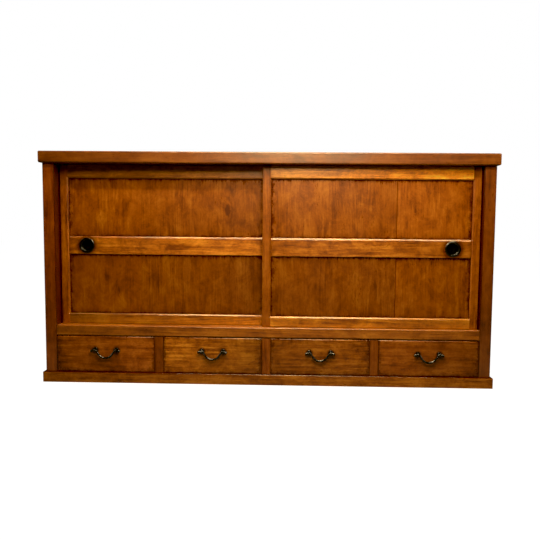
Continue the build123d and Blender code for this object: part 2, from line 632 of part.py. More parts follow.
def doors():
    """The right door runs in the front track, the left door in the rear one."""
    meeting_x = HALF_OPENING - DOOR_END_CLEAR - DOOR_W
    nodes = door("right_door", Pos(meeting_x, FRONT_DOOR_Y, DOOR_Z), list)
    nodes |= door("left_door", Pos(meeting_x, REAR_DOOR_Y, DOOR_Z), mirrored)
    return nodes


# ---------------------------------------------------------------- drawers and their handles
def eye_shank(clearance=0.0):
    """Both legs of a split pin as one bar, from the eye to the inside of the drawer front."""
    half_w = EYE_W / 2 + clearance
    half_h = SHANK_H / 2 + clearance
    return block(-half_w, half_w, ROD_R, EYE_STANDOFF + DRAWER_FRONT_T, -half_h, half_h)


def forged_section(radius):
    """Section of forged iron with flats above, below, in front and behind. radius is to a flat."""
    return Rot(0, 0, 180 / FORGED_SIDES) * RegularPolygon(radius, FORGED_SIDES, major_radius=False)


def handle_eye():
    """Split pin, pivot at the origin: a round eye, two legs, and their ends clenched flat inside."""
    hole_r = ROD_R + ROD_FIT
    ring = Rot(0, 90, 0) * Cylinder(hole_r + EYE_WALL, EYE_W)
    inner_y = EYE_STANDOFF + DRAWER_FRONT_T
    reach = SHANK_H / 2 + CLENCH_L
    clench = block(-EYE_W / 2, EYE_W / 2, inner_y, inner_y + CLENCH_T, -reach, reach)
    pin = ring + eye_shank() + clench
    pin = pin - Rot(0, 90, 0) * Cylinder(hole_r, 2 * EYE_W)
    slit = block(-EYE_W, EYE_W, hole_r + EYE_WALL, inner_y + CLENCH_T, -SHANK_SLIT / 2, SHANK_SLIT / 2)
    return pin - slit


def handle_seat():
    """Eight-sided bevelled seat between the eye and the drawer front."""
    outline = Pos(0, EYE_STANDOFF, 0) * (Plane.XZ * forged_section(SEAT_R))
    seat = extrude(outline, SEAT_T, dir=(0, -1, 0))
    rim = seat.faces().sort_by(Axis.Y)[0].edges()
    return chamfer(rim, SEAT_BEVEL) - eye_shank(SHANK_FIT)


def handle_bail():
    """Bail with its pivot on the X axis: a thick belly, tapering arms, and a fern bud at each end."""
    slope = math.radians(ARM_SLOPE)
    corner_drop = ARM_CORNER * math.tan(slope)
    belly_bend = (corner_drop - BAIL_DROP) * math.cos(slope) / (1 - math.cos(slope))
    belly_z = belly_bend - BAIL_DROP
    elbow_run = ELBOW_R * math.tan(slope / 2)

    belly_section = Plane.YZ * Pos(0, -belly_bend) * forged_section(BELLY_R)
    belly = Pos(0, 0, belly_z) * Rot(0, -ARM_SLOPE, 0) * revolve(belly_section, Axis.Y, 2 * ARM_SLOPE)

    arm_low = Vector(belly_bend * math.sin(slope), 0, belly_z - belly_bend * math.cos(slope))
    arm_high = Vector(ARM_CORNER - elbow_run * math.cos(slope), 0, -elbow_run * math.sin(slope))
    along = arm_high - arm_low
    arm_plane = Plane(arm_low, x_dir=(0, 1, 0), z_dir=along)
    taper = math.degrees(math.atan2(BELLY_R - ROD_R, along.length))
    arm = extrude(arm_plane * forged_section(BELLY_R), along.length, taper=taper)

    elbow_x = ARM_CORNER + elbow_run
    elbow_section = Plane.YZ * Pos(0, ELBOW_R) * forged_section(ROD_R)
    elbow = Pos(elbow_x, 0, -ELBOW_R) * Rot(0, -ARM_SLOPE, 0) * revolve(elbow_section, Axis.Y, ARM_SLOPE)

    bud_x = (EYE_SPACING + EYE_W) / 2 + BUD_GAP + BUD_NECK_R * math.sin(math.radians(BUD_DROOP))
    pin = Pos(elbow_x, 0, 0) * Rot(0, 90, 0) * Cylinder(
        ROD_R, bud_x - elbow_x, align=(Align.CENTER, Align.CENTER, Align.MIN))
    half = arm + elbow + pin + Pos(bud_x, 0, 0) * Rot(0, BUD_DROOP, 0) * fern_bud()
    return belly + half + mirror(half, Plane.YZ)


def fern_bud():
    """Eight-sided bud along +X from the origin: it flares from its neck and ends in a bevel."""
    bud = extrude(Plane.YZ * forged_section(BUD_R), BUD_L)
    neck = bud.faces().sort_by(Axis.X)[0]
    bud = chamfer(neck.edges(), BUD_R - BUD_NECK_R, BUD_FLARE_L, reference=neck)
    tip = bud.faces().sort_by(Axis.X)[-1]
    return chamfer(tip.edges(), BUD_R - BUD_TIP_R, BUD_CAP_L, reference=tip)


def drawer(index, x):
    """One drawer: rebated front, sides, back, bottom, a pair of handle eyes and the bail."""
    x0, x1 = x - BAY_W / 2 + DRAWER_SIDE_CLEAR, x + BAY_W / 2 - DRAWER_SIDE_CLEAR
    z0, z1 = BAY_Z + DRAWER_SEAT_CLEAR, SILL_Z - DRAWER_HEAD_CLEAR
    front_y1 = FRONT_Y + DRAWER_FRONT_T
    box_y0 = front_y1 - DRAWER_REBATE
    box_y1 = BACK_RAIL_Y - DRAWER_STOP_CLEAR
    floor_z = z0 + DRAWER_BOTTOM_T
    wall_z = z1 - DRAWER_WALL_DROP

    bottom = block(x0, x1, box_y0, box_y1, z0, floor_z)
    left = block(x0, x0 + DRAWER_SIDE_T, box_y0, box_y1, floor_z, wall_z)
    right = block(x1 - DRAWER_SIDE_T, x1, box_y0, box_y1, floor_z, wall_z)
    rear = block(x0 + DRAWER_SIDE_T, x1 - DRAWER_SIDE_T, box_y1 - DRAWER_BACK_T, box_y1, floor_z, wall_z)

    eye_places = [Pos(x + side * EYE_SPACING / 2, FRONT_Y - EYE_STANDOFF, BAY_Z + EYE_HEIGHT)
                  for side in (-1, 1)]
    front = block(x0, x1, FRONT_Y, front_y1, z0, z1)
    face_edges = front.faces().sort_by(Axis.Y)[0].edges().sort_by(Axis.Z)
    front = fillet(face_edges[-1], DRAWER_FRONT_ROUND)
    front = chamfer(front.edges().group_by(Axis.Y)[0].group_by(Axis.Z)[0], EDGE_EASE)
    front = cut_all(front, [bottom, left, right] + [p * eye_shank(SHANK_FIT) for p in eye_places])

    eyes = []
    for place in eye_places:
        eyes += [place * handle_eye(), place * handle_seat()]
    bail = Pos(x, FRONT_Y - EYE_STANDOFF, BAY_Z + EYE_HEIGHT) * handle_bail()
    return {
        f"drawer_{index}_front": [front],
        f"drawer_{index}_sides": [left, right],
        f"drawer_{index}_back": [rear],
        f"drawer_{index}_bottom": [bottom],
        f"drawer_{index}_eyes": eyes,
        f"drawer_{index}_bail": [bail],
    }


# ---------------------------------------------------------------- build and write
def cabinet():
    """Every node of the cabinet with its list of solids."""
    nodes = {}
    for build in (top_planks, base_frame, posts, sill, dividers, sides, back, cupboard_inside, doors):
        nodes |= build()
    for i, x in enumerate(BAY_CENTRES):
        nodes |= drawer(i + 1, x)
    return nodes


def write(nodes):
    """One STEP file for each node."""
    os.makedirs("parts", exist_ok=True)
    for name, solids in nodes.items():
        pieces = [solid for shape in solids for solid in shape.solids()]
        shape = Compound(label=name, children=pieces) if len(pieces) > 1 else pieces[0]
        shape.label = name
        export_step(shape, f"parts/{name}.step")


write(cabinet())
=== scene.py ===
"""Looks of the mizuya kitchen cabinet: finishes for its joinery, forged handles and pulls, camera and lights."""

import logging
import math
from dataclasses import dataclass, field, replace
from enum import Enum

import bpy
import numpy as np
from bpy.types import ID, Material, Node, NodeSocket, NodeTree, Object
from mathutils import Matrix, Vector

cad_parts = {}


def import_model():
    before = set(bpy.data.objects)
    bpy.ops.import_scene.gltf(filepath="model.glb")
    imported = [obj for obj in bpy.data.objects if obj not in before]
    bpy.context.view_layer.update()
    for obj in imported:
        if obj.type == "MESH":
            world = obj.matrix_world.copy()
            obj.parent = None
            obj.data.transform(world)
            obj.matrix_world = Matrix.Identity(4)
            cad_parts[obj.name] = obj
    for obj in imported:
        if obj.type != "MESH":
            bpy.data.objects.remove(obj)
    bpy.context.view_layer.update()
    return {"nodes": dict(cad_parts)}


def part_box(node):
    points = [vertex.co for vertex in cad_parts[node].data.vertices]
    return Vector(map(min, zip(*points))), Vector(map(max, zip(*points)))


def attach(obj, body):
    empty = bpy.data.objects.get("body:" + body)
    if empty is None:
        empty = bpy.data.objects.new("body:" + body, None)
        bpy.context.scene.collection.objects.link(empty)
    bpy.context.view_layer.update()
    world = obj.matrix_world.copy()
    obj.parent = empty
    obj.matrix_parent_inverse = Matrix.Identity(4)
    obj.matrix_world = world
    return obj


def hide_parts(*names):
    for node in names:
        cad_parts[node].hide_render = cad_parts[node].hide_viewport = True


log = logging.getLogger("mizuya")

Colour = tuple[float, float, float]
Point = tuple[float, float, float]

MM = 0.001  # one millimetre in metres
FACE_Y = -213.0  # plane of the drawer fronts, in millimetres
BASE_TOP = 0.0405  # height of the base frame
SILL_FOOT = 0.1787  # height of the sill's underside
HALF_OPEN = 0.806  # half the clear width between the front posts
DOOR_EDGE = 0.805  # half the width over both shut doors
PULL_X = 0.7035  # a pull's distance from the middle of the cabinet


class Run(Enum):
    """Direction that a board's grain runs in."""

    ACROSS = "across"
    DEEP = "deep"
    UPRIGHT = "upright"


class Look(Enum):
    """Kind of iron surface."""

    FORGED = "forged"
    TURNED = "turned"


# Shader wiring
@dataclass(frozen=True)
class Wiring:
    """Adds nodes to one node tree and joins them."""

    tree: NodeTree

    def node(self, kind: str, **settings: object) -> Node:
        """Adds a node.

        Args:
            kind: Blender's name for the node type.
            settings: properties set on the node.

        Returns:
            The new node.
        """
        made = self.tree.nodes.new(kind)
        for key, value in settings.items():
            setattr(made, key, value)
        return made

    def put(self, socket: NodeSocket, value: object) -> None:
        """Fills an input.

        Args:
            socket: the input.
            value: a socket to join to it, or a number, place or colour to set; None leaves it as it is.
        """
        if isinstance(value, NodeSocket):
            self.tree.links.new(value, socket)
        elif value is not None:
            socket.default_value = (*value, 1.0) if socket.type == "RGBA" else value

    def feed(self, node: Node, **values: object) -> Node:
        """Fills inputs of a node.

        Args:
            node: the node.
            values: its inputs by name, with _ for a space.

        Returns:
            The node.
        """
        for name, value in values.items():
            self.put(node.inputs[name.replace("_", " ")], value)
        return node

    def sum(self, how: str, first: object, second: object = None, third: object = None,
            clamp: bool = False) -> NodeSocket:
        """Works out one number.

        Args:
            how: operation of the Math node.
            first: first number or socket.
            second: second number or socket.
            third: third number or socket.
            clamp: keeps the result between 0 and 1.

        Returns:
            Socket with the result.
        """
        made = self.node("ShaderNodeMath", operation=how, use_clamp=clamp)
        for socket, value in zip(made.inputs, (first, second, third)):
            self.put(socket, value)
        return made.outputs[0]

    def times(self, first: object, second: object) -> NodeSocket:
        """First times second."""
        return self.sum("MULTIPLY", first, second)

    def plus(self, first: object, second: object) -> NodeSocket:
        """First plus second."""
        return self.sum("ADD", first, second)

    def minus(self, first: object, second: object) -> NodeSocket:
        """First minus second."""
        return self.sum("SUBTRACT", first, second)

    def scaled(self, value: object, by: object, more: object, clamp: bool = False) -> NodeSocket:
        """Value times by, plus more, and with clamp kept between 0 and 1."""
        return self.sum("MULTIPLY_ADD", value, by, more, clamp)

    def slant(self, first: object, second: object) -> NodeSocket:
        """Square root of the sum of the squares."""
        return self.sum("SQRT", self.plus(self.times(first, first), self.times(second, second)))

    def vector(self, how: str, first: object, second: object) -> NodeSocket:
        """Works out a vector from two vectors, or their distance.

        Args:
            how: operation of the Vector Math node.
            first: first vector or socket.
            second: second vector or socket.

        Returns:
            Socket with the result.
        """
        made = self.node("ShaderNodeVectorMath", operation=how)
        self.put(made.inputs[0], first)
        self.put(made.inputs[1], second)
        return made.outputs["Value" if how == "DISTANCE" else "Vector"]

    def parts(self, vector: NodeSocket) -> tuple[NodeSocket, ...]:
        """Splits a vector into its x, y and z."""
        return tuple(self.feed(self.node("ShaderNodeSeparateXYZ"), Vector=vector).outputs)

    def joined(self, x: object, y: object, z: object) -> NodeSocket:
        """Makes a vector of its x, y and z."""
        return self.feed(self.node("ShaderNodeCombineXYZ"), X=x, Y=y, Z=z).outputs[0]

    def noise(self, vector: NodeSocket, scale: float, detail: float = 2.0, rough: float = 0.5,
              twist: float = 0.0) -> NodeSocket:
        """Soft noise of about 0 to 1: detail is its octaves, rough their strength and twist its distortion."""
        made = self.node("ShaderNodeTexNoise", noise_dimensions="3D")
        return self.feed(made, Vector=vector, Scale=scale, Detail=detail, Roughness=rough, Distortion=twist).outputs[0]

    def cells(self, vector: NodeSocket, scale: float, feature: str = "F1", **more: object) -> NodeSocket:
        """Distance to the nearest of many scattered points; more inputs go to the node by name."""
        made = self.node("ShaderNodeTexVoronoi", feature=feature)
        return self.feed(made, Vector=vector, Scale=scale, **more).outputs["Distance"]

    def remap(self, value: object, low: object, high: object, to_low: float = 0.0,
              to_high: float = 1.0) -> NodeSocket:
        """Maps the range from low to high smoothly onto the one from to_low to to_high."""
        made = self.node("ShaderNodeMapRange", interpolation_type="SMOOTHSTEP")
        return self.feed(made, Value=value, From_Min=low, From_Max=high, To_Min=to_low, To_Max=to_high).outputs[0]

    def blend(self, share: object, first: object, second: object, how: str = "MIX") -> NodeSocket:
        """Mixes two colours: share is the weight of the second one, and how is the blend type."""
        made = self.node("ShaderNodeMix", data_type="RGBA", blend_type=how, clamp_factor=True)
        return self.feed(made, Factor=share, A=first, B=second).outputs["Result"]

    def relief(self, height: NodeSocket, strength: float, distance: float) -> NodeSocket:
        """Turns heights into normals, where a height of 1 stands for a distance in metres."""
        return self.feed(self.node("ShaderNodeBump"), Height=height, Strength=strength, Distance=distance).outputs[0]

    def effect(self, tree: NodeTree, **values: object) -> dict[str, NodeSocket]:
        """Adds one of the shared effects with its inputs by name, and gives its outputs by name."""
        made = self.feed(self.node("ShaderNodeGroup", node_tree=tree), **values)
        return {given.name: given for given in made.outputs}

    def ramp(self, value: object, stops: tuple[tuple[float, Colour], ...]) -> NodeSocket:
        """Turns a number into a colour.

        Args:
            value: number from 0 to 1.
            stops: places and colours along the ramp.

        Returns:
            Socket with the colour.
        """
        made = self.node("ShaderNodeValToRGB")
        row = made.color_ramp.elements
        while len(row) < len(stops):
            row.new(0.5)
        for element, (place, colour) in zip(row, stops):
            element.position = place
            element.color = (*colour, 1.0)
        self.put(made.inputs[0], value)
        return made.outputs[0]


def new_effect(name: str, takes: dict[str, object],
               gives: tuple[str, ...]) -> tuple[Wiring, dict[str, NodeSocket], dict[str, NodeSocket]]:
    """Starts a shared effect, a node group of numbers and vectors.

    Args:
        name: the effect's name.
        takes: names and default values of its inputs; a tuple makes a vector input.
        gives: names of its outputs, all numbers.

    Returns:
        The wiring of the group, its input sockets by name, and its output sockets by name.
    """
    tree = bpy.data.node_groups.new(name, "ShaderNodeTree")
    for label, value in takes.items():
        kind = "NodeSocketVector" if isinstance(value, tuple) else "NodeSocketFloat"
        tree.interface.new_socket(label, in_out="INPUT", socket_type=kind).default_value = value
    for label in gives:
        tree.interface.new_socket(label, in_out="OUTPUT", socket_type="NodeSocketFloat")
    wiring = Wiring(tree)
    start = wiring.node("NodeGroupInput")
    end = wiring.node("NodeGroupOutput")
    return wiring, {k: start.outputs[k] for k in takes}, {k: end.inputs[k] for k in gives}


class Effects:
    """Shared effects that the finishes use: grain, edges, field stains with painted shade, handling and hammer marks.
    """

    def __init__(self) -> None:
        """Builds the groups once."""
        self.grain = self._grain()
        self.edges = self._edges()
        self.window = self._window()
        self.wear = self._wear()
        self.hammer = self._hammer()

    def _grain(self) -> NodeTree:
        """Sawn boards: the distance from a pith behind the face, bent by noise, cut into growth rings.

        Returns:
            Group with Rings, Streaks, Fibre, Pores, Mottle and Flecks.
        """
        w, take, give = new_effect(
            "Sawn grain", {"Along": 0.0, "Across": 0.0, "Depth": 0.0, "Seed": 0.0, "Pith": 0.06, "Ring": 0.006},
            ("Rings", "Streaks", "Fibre", "Pores", "Mottle", "Flecks"))
        along, across, depth = take["Along"], take["Across"], take["Depth"]
        seed = w.times(take["Seed"], 7.31)

        def stretched(fine: float, long: float) -> NodeSocket:
            """Place with the grain's two cross directions scaled by one number and its length by another."""
            return w.joined(w.scaled(across, fine, seed), w.scaled(depth, fine, seed), w.scaled(along, long, seed))

        slow = stretched(5.0, 1.3)
        bend = w.noise(slow, 1.0, 3.0, 0.55)
        shift = w.times(w.minus(w.sum("FRACT", w.times(take["Seed"], 0.618)), 0.5), 0.12)
        far = w.slant(w.plus(across, shift), w.plus(depth, take["Pith"]))
        climb = w.scaled(along, 0.02, far)
        saw = w.sum("FRACT", w.plus(w.sum("DIVIDE", climb, take["Ring"]), w.times(bend, 4.5)))
        late = w.times(w.remap(saw, 0.30, 0.90), w.remap(saw, 1.0, 0.91))
        w.put(give["Rings"], w.times(late, w.remap(w.noise(slow, 2.6, 3.0, 0.6), 0.38, 0.66)))
        plain = w.remap(w.noise(stretched(11.0, 5.0), 1.0, 3.0), 0.38, 0.62, 0.3, 1.25)
        fibre = w.minus(w.noise(stretched(115.0, 7.0), 1.0, 5.0, 0.78, 0.3), 0.5)
        w.put(give["Fibre"], w.scaled(fibre, plain, 0.5))
        w.put(give["Streaks"], w.noise(stretched(52.0, 3.6), 1.0, 5.0, 0.66, 0.5))
        w.put(give["Pores"], w.remap(w.noise(stretched(900.0, 46.0), 1.0, 1.0), 0.60, 0.72))
        w.put(give["Mottle"], w.noise(stretched(16.0, 12.0), 1.0, 7.0, 0.84, 0.4))
        ticks = w.remap(w.noise(stretched(260.0, 55.0), 1.0, 3.0, 0.6), 0.60, 0.70)
        w.put(give["Flecks"], w.times(ticks, w.remap(w.noise(stretched(14.0, 9.0), 1.0), 0.42, 0.62)))
        return w.tree

    def _edges(self) -> NodeTree:
        """Distance from a point on a board's face to the nearest arris: the middle one of its three wall distances.

        Returns:
            Group with Distance.
        """
        w, take, give = new_effect("Arris distance", {"Place": (0, 0, 0), "Low": (0, 0, 0), "High": (1, 1, 1)},
                                   ("Distance",))
        a, b, c = w.parts(w.vector("MINIMUM", w.vector("SUBTRACT", take["Place"], take["Low"]),
                                   w.vector("SUBTRACT", take["High"], take["Place"])))
        middle = w.sum("MAXIMUM", w.sum("MINIMUM", a, b), w.sum("MINIMUM", w.sum("MAXIMUM", a, b), c))
        w.put(give["Distance"], middle)
        return w.tree

    def _window(self) -> NodeTree:
        """Old stains and painted shade in a framed field: a patchy stain, a dark line exp(-distance / width) from each
        side that paints the shade in the groove, broken up, and drips below the top that also paint the shade under
        the rail.

        Returns:
            Group with Dark edges and Dark under top.
        """
        w, take, give = new_effect(
            "Field stain and shade", {"Place": (0, 0, 0), "Low": (0, 0, 0), "High": (1, 1, 1), "Width": 0.012, "Seed": 0.0},
            ("Dark edges", "Dark under top"))
        x, _, z = w.parts(take["Place"])
        x0, _, z0 = w.parts(take["Low"])
        x1, _, z1 = w.parts(take["High"])
        seed = w.times(take["Seed"], 3.7)
        patchy = w.noise(w.joined(w.scaled(x, 44.0, seed), seed, w.scaled(z, 36.0, seed)), 1.0, 6.0, 0.72)
        width = w.times(take["Width"], w.remap(patchy, 0.30, 0.70, 0.6, 1.4))

        def falling(distance: object, length: object) -> NodeSocket:
            """Share left at a distance, e to the power of minus distance over length."""
            kept = w.sum("MAXIMUM", distance, 0.0)
            return w.sum("EXPONENT", w.times(w.sum("DIVIDE", kept, length), -1.0))

        near_side = w.sum("MINIMUM", w.minus(x, x0), w.minus(x1, x))
        near_end = w.sum("MINIMUM", w.minus(z, z0), w.minus(z1, z))
        near = w.sum("MINIMUM", near_side, near_end)
        wide = w.times(take["Width"], 4.5)
        stain = w.plus(falling(near_side, wide), w.times(falling(near_end, wide), 0.4))
        stain = w.times(stain, w.remap(patchy, 0.34, 0.68))
        # The narrow line falling(near, width) is painted shade in the groove round the field; the wider stain is old
        # soiling.
        w.put(give["Dark edges"], w.scaled(stain, 0.70, falling(near, width), clamp=True))
        # Drips from the top of the field: soiling streaks, and painted shade under the rail above.
        comb = w.noise(w.joined(w.scaled(x, 120.0, seed), seed, w.times(z, 0.6)), 1.0, 4.0, 0.7)
        w.put(give["Dark under top"], falling(w.minus(z1, z), w.remap(comb, 0.45, 0.80, 0.001, 0.034)))
        return w.tree

    @staticmethod
    def moved(w: Wiring, take: dict[str, NodeSocket]) -> NodeSocket:
        """Place moved by the seed along all three axes."""
        return w.vector("ADD", take["Place"], w.joined(take["Seed"], take["Seed"], take["Seed"]))

    def _wear(self) -> NodeTree:
        """Handling: cloudy patches, small dents and short scratches.

        Returns:
            Group with Clouds, Dents and Scratches.
        """
        w, take, give = new_effect("Handling", {"Place": (0, 0, 0), "Seed": 0.0}, ("Clouds", "Dents", "Scratches"))
        place = self.moved(w, take)
        w.put(give["Clouds"], w.noise(place, 7.0, 4.0, 0.6, 0.3))
        chosen = w.remap(w.noise(place, 19.0, 1.0), 0.60, 0.68)
        w.put(give["Dents"], w.times(w.remap(w.cells(place, 38.0), 0.11, 0.0), chosen))
        x, y, z = w.parts(place)
        lines = w.noise(w.joined(w.times(x, 16.0), w.times(y, 60.0), w.times(z, 420.0)), 1.0, twist=0.15)
        w.put(give["Scratches"], w.remap(lines, 0.71, 0.76))
        return w.tree

    def _hammer(self) -> NodeTree:
        """Forged iron: overlapping shallow hammer facets, fine scale and a few brown spots.

        Returns:
            Group with Height, Scale and Rust.
        """
        w, take, give = new_effect("Hammered", {"Place": (0, 0, 0), "Seed": 0.0}, ("Height", "Scale", "Rust"))
        place = self.moved(w, take)
        fine = w.noise(place, 900.0, 3.0, 0.6)
        w.put(give["Height"], w.scaled(fine, 0.25, w.cells(place, 170.0, "SMOOTH_F1", Smoothness=0.8)))
        w.put(give["Scale"], w.noise(place, 120.0, 4.0, 0.65))
        w.put(give["Rust"], w.remap(w.noise(place, 75.0, 5.0, 0.7), 0.58, 0.74))
        return w.tree


# Finishes
@dataclass(frozen=True)
class WoodFinish:
    """Colours and gloss of one kind of wood."""

    dark: Colour = (0.150, 0.030, 0.0025)
    mid: Colour = (0.400, 0.108, 0.0070)
    light: Colour = (0.620, 0.215, 0.0240)
    dirt_and_shade: Colour = (0.046, 0.0034, 0.0003)
    rough: float = 0.38
    gloss: float = 0.90
    coat: float = 0.90
    coat_rough: float = 0.32
    streak: float = 0.95
    fibre: float = 0.95
    mottle: float = 1.50
    fleck: float = 0.55
    ring: float = 0.0045
    ring_share: float = 0.14
    bump: float = 0.25


@dataclass(frozen=True)
class Woods:
    """The cabinet's kinds of wood: lacquered frame, satin panel, rubbed and bare."""

    frame: WoodFinish = WoodFinish()
    panel: WoodFinish = WoodFinish(mid=(0.385, 0.098, 0.0060), gloss=0.6, coat=0.35, coat_rough=0.34, streak=0.40,
                                   mottle=1.45, ring=0.0055)
    rubbed: WoodFinish = WoodFinish(gloss=0.6, coat=0.5, fibre=1.2)
    bare: WoodFinish = WoodFinish(dark=(0.26, 0.125, 0.050), mid=(0.45, 0.26, 0.12), light=(0.57, 0.37, 0.19),
                                  dirt_and_shade=(0.06, 0.03, 0.015), rough=0.62, gloss=0.5, coat=0.0, coat_rough=0.3,
                                  bump=0.45)


@dataclass(frozen=True)
class Board:
    """How one node's boards are cut and worn: how bright (shade), yellow, soiled and painted with shade
    (grime_and_shade) and contrasty they are.

    Attributes:
        pith: distance from the face back to the tree's middle.
        arris: strength of the rubbed, lighter arrises, which also paint a highlight along them.
        line: width of the dark line along a window's sides, painted shade in its groove; the wider stain scales with
            it.
        below: brightness of the part below the bar, a painted shade that darkens the lower field.
        lean: brightness gained from the left end to the right.
        window: low and high corner of the framed field, at whose edges the stains and the painted shade gather.
        split: axis, start and pitch of boards that each have their own grain and tone.
        level_below: height below which an upright wall has its level rails.
        bar: foot and top of a rail that crosses the window.
        shade_and_joint_line: axis, place and reach of a dark line: painted shade along gaps and reveals, and a dark
            joint on the right panel's seam.
        knots: centre x, centre z and radius of each knot.
        halos: the same for the iron, round which the wood is darker: soiling, and painted shade where the iron stands
            on it.
    """

    run: Run
    seed: float
    shade: float = 1.0
    pith: float = 0.06
    arris: float = 0.35
    grime_and_shade: float = 0.5
    line: float = 0.005
    contrast: float = 1.0
    yellow: float = 1.0
    below: float = 1.0
    lean: float = 0.0
    window: tuple[Point, Point] | None = None
    split: tuple[int, float, float] | None = None
    level_below: float | None = None
    bar: tuple[float, float] | None = None
    shade_and_joint_line: tuple[int, float, float] | None = None
    knots: tuple[Point, ...] = ()
    halos: tuple[Point, ...] = ()


@dataclass(frozen=True)
class IronFinish:
    """Burnt black iron, with lacquer on it."""

    look: Look = Look.FORGED
    black: Colour = (0.020, 0.020, 0.027)
    brown: Colour = (0.080, 0.026, 0.010)
    rough: float = 0.24
    coat: float = 0.75
    bump: float = 0.12


FORGED_IRON = IronFinish()
TURNED_IRON = IronFinish(Look.TURNED, black=(0.014, 0.015, 0.020), rough=0.36, coat=0.9)


@dataclass(frozen=True)
class Finisher:
    """Makes the materials."""

    effects: Effects

    def start(self, name: str) -> tuple[Material, Wiring, Node, NodeSocket]:
        """Starts a material.

        Args:
            name: the material's name.

        Returns:
            The material, its wiring, its Principled shader and its Object coordinates.
        """
        made = bpy.data.materials.new(name)
        made.use_nodes = True
        made.node_tree.nodes.clear()
        w = Wiring(made.node_tree)
        shader = w.node("ShaderNodeBsdfPrincipled")
        out = w.node("ShaderNodeOutputMaterial")
        w.put(out.inputs[0], shader.outputs[0])
        return made, w, shader, w.node("ShaderNodeTexCoord").outputs["Object"]

    def wood(self, name: str, finish: WoodFinish, board: Board, low: Vector, high: Vector) -> Material:
        """Lacquered or bare wood on one node.

        Args:
            name: the material's name.
            finish: colours and gloss.
            board: cut, shade and wear of the boards.
            low: the node's lowest corner.
            high: the node's highest corner.

        Returns:
            The material.
        """
        made, w, shader, place = self.start(name)
        raw = w.parts(place)
        x, y, z = w.parts(w.vector("SUBTRACT", place, tuple((low + high) / 2)))
        seed: object = board.seed
        if board.split is not None:
            axis, start, pitch = board.split
            index = w.sum("FLOOR", w.sum("DIVIDE", w.minus(raw[axis], start), pitch))
            seed = w.scaled(index, 2.37, board.seed)
        along, across, depth = {Run.ACROSS: (x, z, y), Run.DEEP: (y, x, z), Run.UPRIGHT: (z, x, y)}[board.run]
        if board.level_below is not None:
            level = w.sum("LESS_THAN", raw[2], board.level_below)
            upright, flat = w.minus(1.0, level), w.plus(x, y)
            along = w.plus(w.times(level, flat), w.times(upright, z))
            across = w.plus(w.times(level, z), w.times(upright, flat))
            depth = 0.0
        grain = w.effect(self.effects.grain, Along=along, Across=across, Depth=depth, Seed=seed, Pith=board.pith,
                         Ring=finish.ring)
        wear = w.effect(self.effects.wear, Place=place, Seed=seed)
        arris = w.effect(self.effects.edges, Place=place, Low=tuple(low), High=tuple(high))["Distance"]
        clouds = wear["Clouds"]

        # Grain: a middle value moved by streaks, fibre and mottle, less the rings and the knots.
        value: object = 0.5
        for pattern, share in (("Streaks", finish.streak), ("Fibre", finish.fibre), ("Mottle", finish.mottle)):
            value = w.scaled(w.minus(grain[pattern], 0.5), share * board.contrast, value)
        value = w.minus(value, w.times(grain["Rings"], finish.ring_share))
        for knot in board.knots:
            value = w.minus(value, self.knot(w, raw[0], raw[2], knot, grain["Mottle"]))
        value = w.sum("MAXIMUM", value, 0.0)
        colour = w.ramp(value, ((0.16, finish.dark), (0.50, finish.mid), (0.84, finish.light)))

        # Tone: each board's own, the shade, the lean, the part below a bar (darkened as painted shade), dark pores,
        # and arrises made lighter by wear and by a painted highlight.
        if board.split is not None:
            tone = w.blend(w.sum("FRACT", w.times(seed, 0.731)), (0.82, 0.80, 0.78), (1.08, 1.06, 1.02))
            colour = w.blend(1.0, colour, tone, "MULTIPLY")
        tint = (board.shade, board.yellow * board.shade ** 1.08, board.shade ** 1.15)
        colour = w.blend(1.0, colour, tint, "MULTIPLY")
        if board.lean:
            lean = w.scaled(x, board.lean / (high.x - low.x), 1.0)
            colour = w.vector("MINIMUM", w.vector("MULTIPLY", colour, w.joined(lean, lean, lean)), (0.95,) * 3)
        if board.bar is not None:
            under = w.sum("LESS_THAN", raw[2], sum(board.bar) / 2)
            colour = w.blend(under, colour, w.blend(1.0, colour, (board.below,) * 3, "MULTIPLY"))
        colour = w.blend(w.times(grain["Pores"], 0.35), colour, finish.dark)
        # Lighter arrises: worn lacquer, and a painted highlight along each arris.
        rub_and_highlight = w.times(w.remap(arris, 0.0022, 0.0), w.remap(clouds, 0.38, 0.62, 0.2))
        colour = w.blend(w.times(rub_and_highlight, board.arris), colour, finish.light)

        # Soiling and painted shade: dents, flecks and clouds, then the window's stain with its painted shade line and
        # drips, or darkening near the arrises, the rings round the iron, and the painted shade along gaps and reveals.
        dirt_and_shade = w.scaled(grain["Flecks"], finish.fleck, w.times(wear["Dents"], 0.7))
        dirt_and_shade = w.scaled(w.remap(clouds, 0.55, 0.8), 0.22 * board.grime_and_shade, dirt_and_shade)
        if board.window is not None:
            window_low, window_high = self.window(w, raw[2], board)
            grime_and_shade = w.effect(self.effects.window, Place=place, Low=window_low, High=window_high, Width=board.line,
                             Seed=board.seed)
            dirt_and_shade = w.scaled(grime_and_shade["Dark edges"], board.grime_and_shade, dirt_and_shade)
            dirt_and_shade = w.scaled(grime_and_shade["Dark under top"], 0.60 * board.grime_and_shade, dirt_and_shade, clamp=True)
        else:
            # Darker towards the arrises: soiling, and painted shade where parts meet.
            band = w.times(w.remap(arris, 0.014, 0.001), w.remap(clouds, 0.42, 0.66, 0.15))
            dirt_and_shade = w.scaled(band, 0.45 * board.grime_and_shade, dirt_and_shade, clamp=True)
        # Darker ring round the iron: soiling, and painted shade where the iron stands on the wood.
        for halo_x, halo_z, halo_r in board.halos:
            off = w.vector("DISTANCE", w.joined(raw[0], 0.0, raw[2]), (halo_x, 0.0, halo_z))
            halo = w.remap(off, 1.75 * halo_r, 0.98 * halo_r, 0.0, 0.85)
            dirt_and_shade = w.scaled(halo, w.remap(grain["Mottle"], 0.3, 0.6, 0.55), dirt_and_shade, clamp=True)
